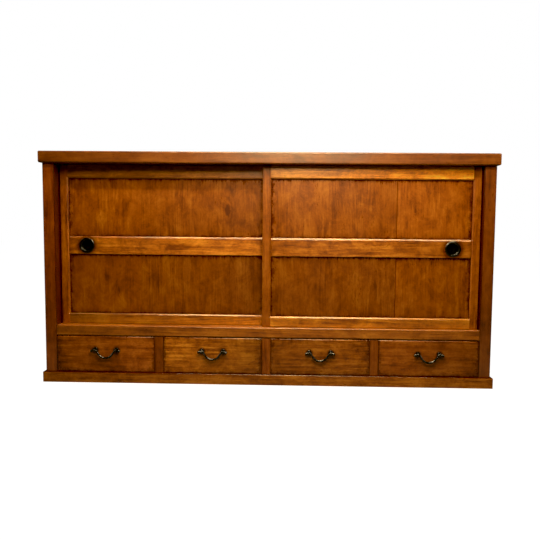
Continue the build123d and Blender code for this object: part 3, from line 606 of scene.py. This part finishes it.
        # A dark line along one face: painted shade in a gap or reveal, and on the right panel's seam a dark joint.
        if board.shade_and_joint_line is not None:
            axis, face, reach = board.shade_and_joint_line
            off = w.sum("ABSOLUTE", w.minus(raw[axis], face))
            dirt_and_shade = w.scaled(w.remap(off, reach, 0.45 * reach), 0.95, dirt_and_shade, clamp=True)
        colour = w.blend(dirt_and_shade, colour, finish.dirt_and_shade)

        # Gloss and relief.
        rough = w.scaled(dirt_and_shade, -0.20, w.scaled(w.minus(clouds, 0.5), 0.22, finish.rough))
        rough = w.scaled(wear["Scratches"], 0.12, rough, clamp=True)
        coat_share = w.minus(1.0, w.times(dirt_and_shade, 0.9))
        height = w.scaled(grain["Fibre"], 0.5, w.times(grain["Rings"], -0.35))
        height = w.minus(w.minus(height, w.times(grain["Pores"], 0.35)), w.times(wear["Dents"], 2.5))
        w.feed(shader, Base_Color=colour, Roughness=rough, Specular_IOR_Level=finish.gloss,
               Coat_Weight=w.times(coat_share, finish.coat), Coat_Roughness=finish.coat_rough,
               Normal=w.relief(height, finish.bump, 0.0006))
        return made

    @staticmethod
    def window(w: Wiring, z: object, board: Board) -> tuple[object, object]:
        """Corners of the framed field that a point is in: the whole window, or the part above or below its bar.

        Args:
            w: wiring of the material.
            z: height of the point.
            board: holds the window and its bar.

        Returns:
            Low and high corner.
        """
        low, high = board.window
        if board.bar is None:
            return low, high
        foot, top = board.bar
        above = w.sum("GREATER_THAN", z, (foot + top) / 2)
        return (w.joined(low[0], low[1], w.scaled(above, top - low[2], low[2])),
                w.joined(high[0], high[1], w.scaled(above, high[2] - foot, foot)))

    @staticmethod
    def knot(w: Wiring, x: object, z: object, knot: Point, twist: object) -> NodeSocket:
        """Darkening about a knot: a core, and rings 0.5 + 0.5 sin(9 d) that fade with the oval distance d.

        Args:
            w: wiring of the material.
            x: place across the upright board.
            z: place along it.
            knot: centre x, centre z and radius.
            twist: noise that bends the rings.

        Returns:
            Socket with the amount to take off the grain's value.
        """
        side = w.sum("DIVIDE", w.minus(x, knot[0]), knot[2])
        end = w.sum("DIVIDE", w.minus(z, knot[1]), knot[2] * 2.6)
        far = w.scaled(w.minus(twist, 0.5), 0.9, w.slant(side, end))
        rings = w.scaled(w.sum("SINE", w.times(far, 9.0)), 0.5, 0.5)
        core = w.times(w.remap(far, 0.75, 0.2), 0.6)
        return w.scaled(w.times(rings, w.remap(far, 2.6, 0.4)), 0.16, core)

    def iron(self, name: str, finish: IronFinish, seed: float) -> Material:
        """Black iron of the handles and pulls.

        Args:
            name: the material's name.
            finish: colours and gloss.
            seed: shifts the pattern.

        Returns:
            The material.
        """
        made, w, shader, place = self.start(name)
        marks = w.effect(self.effects.hammer, Place=place, Seed=seed)
        colour = w.blend(w.remap(marks["Scale"], 0.35, 0.7), finish.black, tuple(v * 1.9 for v in finish.black))
        colour = w.blend(w.times(marks["Rust"], 0.5), colour, finish.brown)
        rough = w.scaled(w.minus(marks["Scale"], 0.5), 0.35, finish.rough)
        rough = w.scaled(marks["Rust"], 0.25, rough, clamp=True)
        bump = finish.bump if finish.look is Look.FORGED else finish.bump * 0.4
        w.feed(shader, Base_Color=colour, Metallic=0.85, Roughness=rough, Coat_Weight=finish.coat,
               Coat_Roughness=0.11, Normal=w.relief(marks["Height"], bump, 0.0008))
        return made


# Surfaces
def grid_mesh(points: np.ndarray, round_rows: bool, first_pole: np.ndarray | None = None,
              last_pole: np.ndarray | None = None) -> tuple[np.ndarray, list[np.ndarray]]:
    """Faces of a grid of points: cell (i, j) joins rows i and i + 1 and columns j and j + 1 around the section.

    Args:
        points: array of rows, columns and 3.
        round_rows: joins the last row back to the first.
        first_pole: point that closes the first row.
        last_pole: point that closes the last row.

    Returns:
        The points as one list, and the faces as arrays of quads and triangles.
    """
    rows, cols, _ = points.shape
    flat = points.reshape(-1, 3)
    i, j = np.meshgrid(np.arange(rows if round_rows else rows - 1), np.arange(cols), indexing="ij")
    below, right = (i + 1) % rows, (j + 1) % cols
    quads = np.stack([i * cols + j, i * cols + right, below * cols + right, below * cols + j], -1).reshape(-1, 4)
    faces = [quads]
    ring = np.arange(cols)
    after = (ring + 1) % cols
    for pole, row, turn in ((first_pole, 0, False), (last_pole, rows - 1, True)):
        if pole is None:
            continue
        tip = np.full(cols, len(flat))
        flat = np.vstack([flat, pole])
        fan = [row * cols + ring, tip, row * cols + after]
        faces.append(np.stack(fan[::-1] if turn else fan, -1))
    return flat, faces


def outward(points: np.ndarray, faces: list[np.ndarray]) -> list[np.ndarray]:
    """Turns a closed shell's faces round where its volume, the sum of p0 . (p1 x p2) / 6, is negative.

    Args:
        points: its points, about its middle.
        faces: its quads and triangles.

    Returns:
        The faces, all pointing outwards.
    """
    volume = 0.0
    for group in faces:
        for k in range(1, group.shape[1] - 1):
            a, b, c = points[group[:, 0]], points[group[:, k]], points[group[:, k + 1]]
            volume += float(np.einsum("ij,ij->i", a, np.cross(b, c)).sum())
    return faces if volume > 0 else [group[:, ::-1] for group in faces]


def new_object(name: str, data: ID) -> Object:
    """Makes an object and puts it into the scene.

    Args:
        name: its name.
        data: its mesh, camera or lamp.

    Returns:
        The object.
    """
    made = bpy.data.objects.new(name, data)
    bpy.context.collection.objects.link(made)
    return made


@dataclass
class ShellPiece:
    """One piece made of closed shells in millimetres, put into one mesh in metres."""

    name: str
    points: list[np.ndarray] = field(default_factory=list)
    faces: list[list[int]] = field(default_factory=list)
    count: int = 0

    def add(self, points: np.ndarray, faces: list[np.ndarray]) -> None:
        """Adds a closed shell.

        Args:
            points: its points in millimetres.
            faces: its quads and triangles.
        """
        for group in outward(points - points.mean(0), faces):
            self.faces.extend((group + self.count).tolist())
        self.points.append(points)
        self.count += len(points)

    def finish(self, material: Material, body: str, slot: str, replaced: str) -> Object:
        """Makes the object.

        Args:
            material: its finish.
            body: the body it rides on.
            slot: the record's slot for its finish; not used.
            replaced: the node that it stands for.

        Returns:
            The object.
        """
        mesh = bpy.data.meshes.new(self.name)
        mesh.from_pydata(np.vstack(self.points) * MM, [], self.faces)
        mesh.polygons.foreach_set("use_smooth", np.ones(len(mesh.polygons), bool))
        mesh.materials.append(material)
        mesh.update()
        made = new_object(self.name, mesh)
        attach(made, body)
        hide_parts(replaced)
        log.info("%s: %d faces for %s", self.name, len(mesh.polygons), replaced)
        return made


def circle(count: int) -> np.ndarray:
    """Angles spaced evenly once round."""
    return np.linspace(0, 2 * np.pi, count, endpoint=False)


def octagon(angle: np.ndarray) -> np.ndarray:
    """Reach of eight flats at distance 1: 1 / cos(angle from the middle of the nearest flat)."""
    return 1 / np.cos((angle + np.pi / 8) % (np.pi / 4) - np.pi / 8)


def superellipse(count: int, half_w: float, half_h: float, square: float) -> np.ndarray:
    """Section |u / half_w|^n + |v / half_h|^n = 1, by angle: radius = (|cos|^n + |sin|^n)^(-1/n).

    Args:
        count: how many points it has.
        half_w: half its width.
        half_h: half its height.
        square: the power n; 2 is an ellipse, and more is squarer.

    Returns:
        Points u, v round the section.
    """
    angle = circle(count)
    reach = (np.abs(np.cos(angle)) ** square + np.abs(np.sin(angle)) ** square) ** (-1 / square)
    return np.stack([reach * np.cos(angle) * half_w, reach * np.sin(angle) * half_h], -1)


def swept(path: np.ndarray, side: np.ndarray, section: np.ndarray, scale: np.ndarray) -> np.ndarray:
    """Section carried along a path: p(i, j) = path(i) + scale(i) (u(j) normal(i) + v(j) side).

    Args:
        path: points of the centre line.
        side: unit vector square to the path's plane.
        section: points u, v of the section.
        scale: size of the section at each point of the path.

    Returns:
        Grid of points.
    """
    along = np.gradient(path, axis=0)
    along /= np.linalg.norm(along, axis=1, keepdims=True)
    normal = np.cross(np.broadcast_to(side, along.shape), along)
    u, v = section[:, 0], section[:, 1]
    return (path[:, None] + scale[:, None, None] * (u[None, :, None] * normal[:, None]
                                                   + v[None, :, None] * side[None, None]))


# Ironwork
@dataclass
class BailHandle:
    """Hanging bail of a drawer with its two eyes, sizes in millimetres."""

    index: int
    x: float
    pivot_y: float = -221.0
    pivot_z: float = 125.0
    drop: float = 30.0
    corner: float = 36.0
    slope: float = 58.0
    elbow: float = 4.5
    rod: float = 2.7
    belly: float = 4.1
    spacing: float = 82.0
    eye_w: float = 5.0
    eye_bore: float = 3.05
    eye_wall: float = 2.5
    bud_l: float = 13.0
    bud_droop: float = 20.0
    bud_r: float = 5.0
    seat_r: float = 9.6
    seat_t: float = 1.6
    front_t: float = 20.0
    clench: float = 13.0
    rng: np.random.Generator = field(init=False)

    def __post_init__(self) -> None:
        """Seeds the hammer marks of this handle."""
        self.rng = np.random.default_rng(40 + self.index)

    def place(self, points: np.ndarray) -> np.ndarray:
        """Moves points from the pivot's frame to the cabinet's."""
        return points + np.array([self.x, self.pivot_y, self.pivot_z])

    def centreline(self) -> tuple[np.ndarray, np.ndarray]:
        """Half of the bail, from the belly to the bud: an arc, the arm, the elbow's arc, the pin and the bud.

        Returns:
            Points (x, z) and the radius at each.
        """
        a = math.radians(self.slope)
        corner_drop = self.corner * math.tan(a)
        bend = (corner_drop - self.drop) * math.cos(a) / (1 - math.cos(a))
        run = self.elbow * math.tan(a / 2)
        t = np.linspace(0.0, a, 15)
        belly = np.stack([bend * np.sin(t), bend - self.drop - bend * np.cos(t)], -1)
        high = np.array([self.corner - run * math.cos(a), -run * math.sin(a)])
        s = np.linspace(0.0, 1.0, 10)[1:]
        arm = belly[-1] + (high - belly[-1]) * s[:, None]
        t = np.linspace(a, 0.0, 9)[1:]
        elbow_x = self.corner + run
        elbow = np.stack([elbow_x - self.elbow * np.sin(t), self.elbow * (np.cos(t) - 1)], -1)
        start = self.spacing / 2 + self.eye_w / 2 + 1.6
        pin = np.stack([np.linspace(elbow_x, start, 5)[1:], np.zeros(4)], -1)
        s = np.array([0.03, 0.08, 0.16, 0.28, 0.42, 0.56, 0.70, 0.80, 0.88, 0.94, 0.98, 1.0])
        droop = math.radians(self.bud_droop)
        bud = np.array([start, 0.0]) + (self.bud_l * s)[:, None] * np.array([math.cos(droop), -math.sin(droop)])
        swell = 3.1 + (self.bud_r - 3.1) * np.sin(np.clip(s / 0.72, 0, 1) * np.pi / 2) ** 1.3
        close = np.sqrt(np.clip(1 - (np.clip(s - 0.72, 0, None) / 0.29) ** 2, 0.02, 1))
        radius = np.concatenate([
            np.full(15, self.belly),
            self.belly + (self.rod - self.belly) * np.linspace(0, 1, 10)[1:] ** 0.9,
            np.full(8, self.rod), np.full(4, self.rod), swell * close])
        return np.vstack([belly, arm, elbow, pin, bud]), radius

    def bail(self, iron: Material) -> None:
        """Makes the bail: an eight-flatted bar carried along the centre line, its flats rippled by the hammer.

        Args:
            iron: its finish.
        """
        half, radius = self.centreline()
        line = np.vstack([half[:0:-1] * [-1, 1], half])
        size = np.concatenate([radius[:0:-1], radius])
        path = np.stack([line[:, 0], np.zeros(len(line)), line[:, 1]], -1)
        angle = circle(32)
        reach = 0.45 * octagon(angle) + 0.55 * 1.03
        section = np.stack([reach * np.cos(angle), reach * np.sin(angle)], -1)
        grid = swept(path, np.array([0.0, 1.0, 0.0]), section, size)
        phase = self.rng.uniform(0, 2 * np.pi, 4)
        wave = sum(np.sin(path[:, 0, None] * k + angle[None] * m + p)
                   for k, m, p in zip((0.31, 0.23, 0.47, 0.61), (2, 3, 4, 1), phase))
        centre = path[:, None]
        grid = centre + (grid - centre) * (1 + 0.012 * wave)[..., None]
        piece = ShellPiece(f"drawer_{self.index}_bail_forged")
        points, faces = grid_mesh(grid, False, path[0], path[-1])
        piece.add(self.place(points), faces)
        piece.finish(iron, f"bail_{self.index}", "black_iron", f"drawer_{self.index}_bail")

    def eye_shells(self) -> list[tuple[np.ndarray, list[np.ndarray]]]:
        """Shells of one eye about its pivot: the ring, the two legs and the seat.

        Returns:
            Points and faces of each shell.
        """
        wall, half_w = self.eye_wall, self.eye_w / 2
        section = superellipse(16, wall / 2, half_w, 3.4)
        turn = circle(40)[:, None]
        reach = self.eye_bore + wall / 2 + section[None, :, 0]
        width = np.broadcast_to(section[None, :, 1], (40, 16))
        ring = np.stack([width, reach * np.cos(turn), reach * np.sin(turn)], -1)
        shells = [grid_mesh(ring, True)]
        back = -self.pivot_y + FACE_Y + self.front_t
        bend_r, off = 1.6, 1.25
        t = np.linspace(0, np.pi / 2, 7)[1:]
        for way in (-1, 1):
            y = np.concatenate([[4.4, 8.0, back - 4, back - 0.6], back - 0.6 + bend_r * np.sin(t),
                                np.full(3, back + 1.0)])
            z = np.concatenate([np.full(4, off), off + bend_r * (1 - np.cos(t)), [6.0, 10.0, self.clench + 1.8]])
            path = np.stack([np.zeros(len(y)), y, z * way], -1)
            size = np.concatenate([np.ones(len(y) - 2), [0.9, 0.55]])
            leg = swept(path, np.array([1.0, 0.0, 0.0]), superellipse(16, 1.0, half_w * 0.96, 4.0), size)
            shells.append(grid_mesh(leg, False, path[0], path[-1]))
        angle = circle(48)
        flats = 0.75 * octagon(angle) + 0.27
        face_y = -self.pivot_y + FACE_Y
        share = np.array([1.0, 1.0, 0.97, 0.90, 0.80, 0.40, 0.05])
        depth = np.array([0.0, 0.45, 0.85, 1.25, 1.5, 1.62, 1.62]) * self.seat_t / 1.6
        seat = np.stack([
            share[:, None] * self.seat_r * flats[None] * np.cos(angle)[None],
            np.broadcast_to((face_y + 0.02 - depth)[:, None], (7, 48)),
            share[:, None] * self.seat_r * flats[None] * np.sin(angle)[None]], -1)
        shells.append(grid_mesh(seat, False, np.array([0, face_y + 0.02, 0]), np.array([0, face_y - 1.6, 0])))
        return shells

    def eyes(self, iron: Material) -> None:
        """Makes both eyes of the handle.

        Args:
            iron: their finish.
        """
        piece = ShellPiece(f"drawer_{self.index}_eyes_forged")
        for side in (-1, 1):
            shift = np.array([side * self.spacing / 2, 0.0, 0.0])
            for points, faces in self.eye_shells():
                piece.add(self.place(points + shift), faces)
        piece.finish(iron, f"drawer_{self.index}", "black_iron", f"drawer_{self.index}_eyes")


@dataclass
class RecessedPull:
    """Round pull let into a door's belt, sizes in millimetres."""

    side: str
    x: float
    face_y: float
    z: float = 524.5
    radius: float = 30.4
    crest_out: float = 26.0
    crest_h: float = 2.2
    cup: float = 22.5
    depth: float = 9.0
    wall: float = 1.0
    steps: int = 72

    def profile(self) -> np.ndarray:
        """Closed section (radius, depth) of the pull: cup floor, wall, rounded crest, dished flange and back.

        Returns:
            Points round the section.
        """
        t = np.linspace(0, np.pi / 2, 6)
        corner = np.stack([self.cup - 2.5 + 2.5 * np.sin(t), self.depth - 2.5 + 2.5 * np.cos(t)], -1)
        lip = np.stack([self.cup + 1.6 * (1 - np.cos(t)), -self.crest_h + 1.6 - 1.6 * np.sin(t)], -1)
        s = np.linspace(0, 1, 9)
        slope_r = self.crest_out - 0.8 + (self.radius - self.crest_out + 0.8) * s
        slope_y = -self.crest_h * (1 - s ** 1.6) - 0.12 * np.sin(s * np.pi)
        flange = np.stack([slope_r, slope_y], -1)
        bore = self.cup + self.wall
        back = np.array([[self.radius - 0.15, 0.02], [bore, 0.0], [bore, self.depth + 0.4],
                         [bore - 0.8, self.depth + self.wall]])
        floor = np.array([[8.0, self.depth - 0.06], [15.0, self.depth]])
        return np.vstack([floor, corner, lip[:-1], flange, back])

    def build(self, iron: Material) -> None:
        """Turns the section about the pull's axis: (r cos a, y, r sin a).

        Args:
            iron: its finish.
        """
        section = self.profile()
        turn = circle(self.steps)
        r, y = section[:, 0][:, None], section[:, 1][:, None]
        grid = np.stack([r * np.cos(turn), np.broadcast_to(y, (len(section), self.steps)), r * np.sin(turn)], -1)
        points, faces = grid_mesh(grid, False, np.array([0, self.depth - 0.1, 0]),
                                  np.array([0, self.depth + self.wall, 0]))
        piece = ShellPiece(f"{self.side}_door_pull_turned")
        piece.add(points + np.array([self.x, self.face_y, self.z]), faces)
        piece.finish(iron, f"{self.side}_door", "black_iron", f"{self.side}_door_pull")


# Joinery
@dataclass
class Joinery:
    """Dresses the wooden nodes: eased arrises and a finish cut for each node."""

    nodes: dict[str, Object]
    finisher: Finisher
    woods: Woods = Woods()
    ease: float = 0.0007

    def dress(self, node: str, finish: WoodFinish, board: Board, ease: float | None = None) -> None:
        """Gives a node its eased arrises and its material.

        Args:
            node: the node's name.
            finish: kind of wood.
            board: cut and wear.
            ease: width of its eased arrises in metres.
        """
        shown = self.nodes[node]
        low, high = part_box(node)
        shown.data.materials.clear()
        shown.data.materials.append(self.finisher.wood(f"{node}_wood", finish, board, low, high))
        weld = shown.modifiers.new("Weld", "WELD")
        weld.merge_threshold = 0.00002
        bevel = shown.modifiers.new("Eased arrises", "BEVEL")
        bevel.width = self.ease if ease is None else ease
        bevel.segments = 2
        bevel.limit_method = "ANGLE"
        bevel.angle_limit = math.radians(28)
        bevel.use_clamp_overlap = True
        log.info("%s: %s grain, seed %.0f", node, board.run.value, board.seed)


@dataclass
class Carcass:
    """Top, base, posts, sill, dividers, sides, back and inside."""

    joinery: Joinery

    def build(self) -> None:
        """Dresses every node of the carcass."""
        dress, woods = self.joinery.dress, self.joinery.woods
        dress("top_front_plank", woods.frame, Board(Run.ACROSS, 3, 0.47, pith=0.09, arris=0.5))
        dress("top_rear_planks", replace(woods.rubbed, rough=0.46),
              Board(Run.ACROSS, 11, 0.70, pith=0.09, split=(1, -0.221, 0.297)))
        # A dark line along the base's top: painted shade in the gap below the drawers.
        dress("base_front", woods.rubbed,
              Board(Run.ACROSS, 5, 0.92, yellow=1.08, arris=0.30, grime_and_shade=0.6, contrast=1.2, shade_and_joint_line=(2, BASE_TOP, 0.0028)))
        dress("base_rear", woods.frame, Board(Run.ACROSS, 6, 0.75))
        dress("base_ends", woods.frame, Board(Run.DEEP, 7, 0.80))
        # A dark line along the sill's underside: painted shade in the gap above the drawers.
        dress("sill_with_tracks", woods.frame,
              Board(Run.ACROSS, 9, 0.98, yellow=1.08, grime_and_shade=0.6, shade_and_joint_line=(2, SILL_FOOT, 0.006)))
        for side, inner, shade, yellow, seed in (("left", -HALF_OPEN, 0.68, 0.78, 13),
                                                 ("right", HALF_OPEN, 0.55, 0.90, 17)):
            # A dark line on each post's inner face: painted shade in the reveal beside the doors.
            dress(f"post_front_{side}", woods.frame,
                  Board(Run.UPRIGHT, seed, shade, yellow=yellow, grime_and_shade=0.7, shade_and_joint_line=(0, inner, 0.0026)))
            dress(f"post_rear_{side}", woods.rubbed, Board(Run.UPRIGHT, seed + 1, 0.84))
            dress(f"side_rails_{side}", woods.rubbed, Board(Run.DEEP, seed + 2, 0.92))
            dress(f"side_boards_{side}", woods.rubbed,
                  Board(Run.UPRIGHT, seed + 3, 0.95, split=(1, -0.139, 0.1645), level_below=0.2))
        # Strong darkening at the dividers' arrises: soiling, and painted shade where they stand back between the
        # drawers.
        dress("drawer_dividers", woods.rubbed,
              Board(Run.UPRIGHT, 23, 0.66, yellow=0.88, split=(0, -0.6, 0.4), grime_and_shade=1.2))
        dress("back_rails", woods.bare, Board(Run.ACROSS, 25))
        dress("back_boards", woods.bare, Board(Run.UPRIGHT, 26, split=(0, -0.813, 0.271), level_below=0.2))
        for seed, node in enumerate(("drawer_guides", "cupboard_floor", "shelf_boards", "drawer_floor"), 31):
            dress(node, woods.bare, Board(Run.DEEP, seed, split=(0, -0.806, 0.2687)))
        dress("shelf_rail_and_strut", woods.bare, Board(Run.ACROSS, 37, 0.8))


@dataclass(frozen=True)
class DoorTone:
    """Shades of a door's boards, and how three of them lean from left to right."""

    stile: float
    top: float
    belt: float
    foot: float
    top_lean: float = 0.0
    foot_lean: float = 0.0
    panel_lean: float = 0.0


@dataclass
class SlidingDoor:
    """One framed door with its two panel boards, belt and pull."""

    side: str
    seed: float
    seam: float
    knots: tuple[Point, ...]
    tone: DoorTone
    joinery: Joinery
    housed: float = 0.006

    def build(self) -> None:
        """Dresses the door and makes its pull."""
        name, seed, tone = f"{self.side}_door", self.seed, self.tone
        dress, woods = self.joinery.dress, self.joinery.woods
        right = self.side == "right"
        edge = 1.0 if right else -1.0
        foot_low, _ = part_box(f"{name}_bottom_rail")
        low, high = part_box(f"{name}_belt_rail")
        panel_low, panel_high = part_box(f"{name}_panel")
        pull = RecessedPull(self.side, edge * PULL_X / MM, low.y / MM)
        dress(f"{name}_meeting_stile", woods.rubbed, Board(Run.UPRIGHT, seed, 0.76, arris=0.75))
        # A dark line at the outer edge: painted shade in the gap beside the post.
        dress(f"{name}_outer_stile", woods.rubbed,
              Board(Run.UPRIGHT, seed + 1, tone.stile, arris=0.75, shade_and_joint_line=(0, edge * DOOR_EDGE, 0.005)))
        dress(f"{name}_top_rail", woods.frame,
              Board(Run.ACROSS, seed + 2, tone.top, contrast=1.25, yellow=1.15, lean=tone.top_lean))
        # A dark line at the rail's foot: painted shade in the gap above the sill.
        dress(f"{name}_bottom_rail", woods.frame,
              Board(Run.ACROSS, seed + 3, tone.foot, yellow=1.24, lean=tone.foot_lean, shade_and_joint_line=(2, foot_low.z, 0.007)))
        dress(f"{name}_belt_rail", woods.frame,
              Board(Run.ACROSS, seed + 4, tone.belt, contrast=1.35, yellow=1.07, grime_and_shade=0.45,
                    halos=((edge * PULL_X, pull.z * MM, pull.radius * MM),),
                    window=((low.x, 0, low.z - 0.02), (high.x, 0, high.z + 0.03))))
        # The lower field is darker (below) and a dark line runs along the field's edges, under the rails and the belt:
        # painted shade; the right panel's seam line is a dark joint.
        dress(f"{name}_panel", woods.panel,
              Board(Run.UPRIGHT, seed + 5, 0.84, pith=0.045, grime_and_shade=0.95, bar=(low.z, high.z), below=0.83,
                    contrast=1.10, yellow=1.05, lean=tone.panel_lean, split=(0, self.seam, 1.0), knots=self.knots,
                    shade_and_joint_line=(0, self.seam, 0.0012) if right else None,
                    window=((panel_low.x + self.housed, 0, panel_low.z + self.housed),
                            (panel_high.x - self.housed, 0, panel_high.z - self.housed))), ease=0.0003)
        pull.build(self.joinery.finisher.iron(f"{name}_iron", TURNED_IRON, seed * 0.13))


@dataclass
class Drawer:
    """One drawer and its handle."""

    index: int
    shade: float
    yellow: float
    lean: float
    joinery: Joinery
    halo: float = 0.0105

    def build(self) -> None:
        """Dresses the drawer and makes its handle."""
        name, i = f"drawer_{self.index}", self.index
        dress, woods = self.joinery.dress, self.joinery.woods
        low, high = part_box(f"{name}_front")
        middle = (low.x + high.x) / 2
        handle = BailHandle(i, middle / MM)
        halos = tuple((middle + way * handle.spacing / 2 * MM, handle.pivot_z * MM, self.halo) for way in (-1, 1))
        # The front darkens towards its edges: stains, and a dark line of painted shade in the gaps round the drawer;
        # rings round the eye seats are soiling and painted shade.
        dress(f"{name}_front", woods.rubbed,
              Board(Run.ACROSS, 60 + 3 * i, self.shade, yellow=self.yellow, pith=0.05, grime_and_shade=0.80, line=0.0060,
                    contrast=1.35, lean=self.lean, halos=halos,
                    window=((low.x, 0, low.z), (high.x, 0, high.z + 0.01))))
        for piece, run, seed in (("sides", Run.DEEP, 80), ("back", Run.ACROSS, 85), ("bottom", Run.DEEP, 90)):
            dress(f"{name}_{piece}", woods.bare, Board(run, seed + i))
        iron = self.joinery.finisher.iron(f"{name}_iron", FORGED_IRON, i * 0.37)
        handle.bail(iron)
        handle.eyes(iron)


# Studio
@dataclass(frozen=True)
class StudioCamera:
    """Camera as angles in radians and a lens, with the small shift that the framing needs."""

    place: Point = (0.1111, -2.3256, 0.6184)
    yaw: float = 0.0245
    pitch: float = -0.0717
    roll: float = 0.009
    lens: float = 37.44
    shift_x: float = -0.02305
    shift_y: float = -0.01255

    def build(self) -> None:
        """Makes the camera: forward is yaw and pitch, right is level, and both turn by the roll."""
        data = bpy.data.cameras.new("Studio camera")
        data.lens = self.lens
        data.sensor_width = 36.0
        data.shift_x, data.shift_y = self.shift_x, self.shift_y
        data.clip_start, data.clip_end = 0.05, 60.0
        camera = new_object("Studio camera", data)
        ahead = Vector((-math.sin(self.yaw) * math.cos(self.pitch), math.cos(self.yaw) * math.cos(self.pitch),
                        math.sin(self.pitch)))
        level = Vector((math.cos(self.yaw), math.sin(self.yaw), 0.0))
        up = level.cross(ahead)
        right = level * math.cos(self.roll) + up * math.sin(self.roll)
        top = up * math.cos(self.roll) - level * math.sin(self.roll)
        turn = Matrix((right, top, -ahead)).transposed().to_4x4()
        camera.matrix_world = Matrix.Translation(self.place) @ turn
        bpy.context.scene.camera = camera


@dataclass(frozen=True)
class SoftLight:
    """A rectangular lamp that faces a point."""

    name: str
    place: Point
    target: Point
    width: float
    height: float
    watts: float
    colour: Colour = (1.0, 0.77, 0.40)

    def build(self) -> None:
        """Makes the lamp."""
        data = bpy.data.lights.new(self.name, "AREA")
        data.shape = "RECTANGLE"
        data.size, data.size_y = self.width, self.height
        data.energy = self.watts
        data.color = self.colour
        lamp = new_object(self.name, data)
        lamp.visible_camera = False
        aim = Vector(self.target) - Vector(self.place)
        lamp.matrix_world = Matrix.Translation(self.place) @ aim.to_track_quat("-Z", "Y").to_matrix().to_4x4()


@dataclass(frozen=True)
class Studio:
    """Pale floor, pale surroundings and the lamps."""

    floor_half: float = 12.0
    fill: float = 0.005
    black: Colour = (0.003, 0.003, 0.0045)
    lamps: tuple[SoftLight, ...] = (
        SoftLight("Key", (0.27, -0.66, 1.42), (0.29, -0.2, 0.60), 2.1, 0.03, 12.4),
        SoftLight("Lower", (0.12, -0.98, 1.29), (0.1, -0.2, 0.62), 0.55, 0.34, 12.5),
        SoftLight("Overhead", (0.1, -0.42, 2.3), (0.1, -0.25, 0.5), 1.8, 0.4, 36.0),
        SoftLight("Back", (-0.5, 2.9, 0.85), (0.0, 0.2, 0.45), 2.4, 0.9, 34.0),
        SoftLight("Left side", (-3.4, -0.2, 1.7), (-0.8, 0.0, 0.4), 1.2, 1.6, 24.0),
        SoftLight("Right side", (3.4, -0.1, 1.7), (0.8, 0.0, 0.4), 1.2, 1.6, 26.0),
    )

    def build(self) -> None:
        """Makes the floor, the surroundings and the lamps."""
        half = self.floor_half
        mesh = bpy.data.meshes.new("Floor")
        corners = np.array([[-half, -half, 0], [half, -half, 0], [half, half, 0], [-half, half, 0]], float)
        mesh.from_pydata(corners, [], [(0, 1, 2, 3)])
        new_object("Floor", mesh)
        material = bpy.data.materials.new("Pale floor")
        material.use_nodes = True
        w = Wiring(material.node_tree)
        shader = material.node_tree.nodes["Principled BSDF"]
        place = w.node("ShaderNodeTexCoord").outputs["Object"]
        speckled = w.blend(w.noise(place, 60.0, 3.0), (0.10,) * 3, (0.12,) * 3)
        seen = w.node("ShaderNodeLightPath").outputs["Is Camera Ray"]
        w.feed(shader, Base_Color=speckled, Roughness=0.85, Emission_Color=(1.0, 1.0, 1.0), Emission_Strength=seen)
        mesh.materials.append(material)

        world = bpy.data.worlds.new("Studio")
        bpy.context.scene.world = world
        world.use_nodes = True
        w = Wiring(world.node_tree)
        back = world.node_tree.nodes["Background"]
        seen = w.node("ShaderNodeLightPath").outputs["Is Camera Ray"]
        strength = w.plus(w.times(seen, 1.0 - self.fill), self.fill)
        w.feed(back, Color=(1.0, 1.0, 1.0), Strength=strength)
        for lamp in self.lamps:
            lamp.build()
        view = bpy.context.scene.view_settings
        view.view_transform = "Standard"
        view.look = "None"
        view.use_curve_mapping = True
        view.curve_mapping.black_level = self.black
        view.curve_mapping.update()


def main() -> None:
    """Builds the cabinet's looks in order."""
    logging.basicConfig(level=logging.INFO, format="%(message)s")
    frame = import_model()
    joinery = Joinery(frame["nodes"], Finisher(Effects()))
    Carcass(joinery).build()
    SlidingDoor("left", 101, -0.49, ((-0.155, 0.665, 0.020), (-0.58, 0.35, 0.006)),
                DoorTone(0.94, 1.0, 1.34, 1.14, foot_lean=0.8, panel_lean=-0.3), joinery).build()
    # The right door's top rail is brighter (1.85) and brighter still towards its right end (lean 0.75): painted light,
    # and painted reflection of the lamp on the rail.
    SlidingDoor("right", 129, 0.49, ((0.560, 0.668, 0.007), (0.625, 0.470, 0.006)),
                DoorTone(0.82, 1.85, 1.02, 1.32, top_lean=0.75, foot_lean=-0.2), joinery).build()
    for index, shade, yellow, lean in ((1, 0.91, 0.90, 0.28), (2, 1.13, 1.10, -0.65),
                                       (3, 0.82, 1.05, 0.15), (4, 0.73, 0.93, -0.32)):
        Drawer(index, shade, yellow, lean, joinery).build()
    StudioCamera().build()
    Studio().build()


if __name__ == "__main__":
    main()
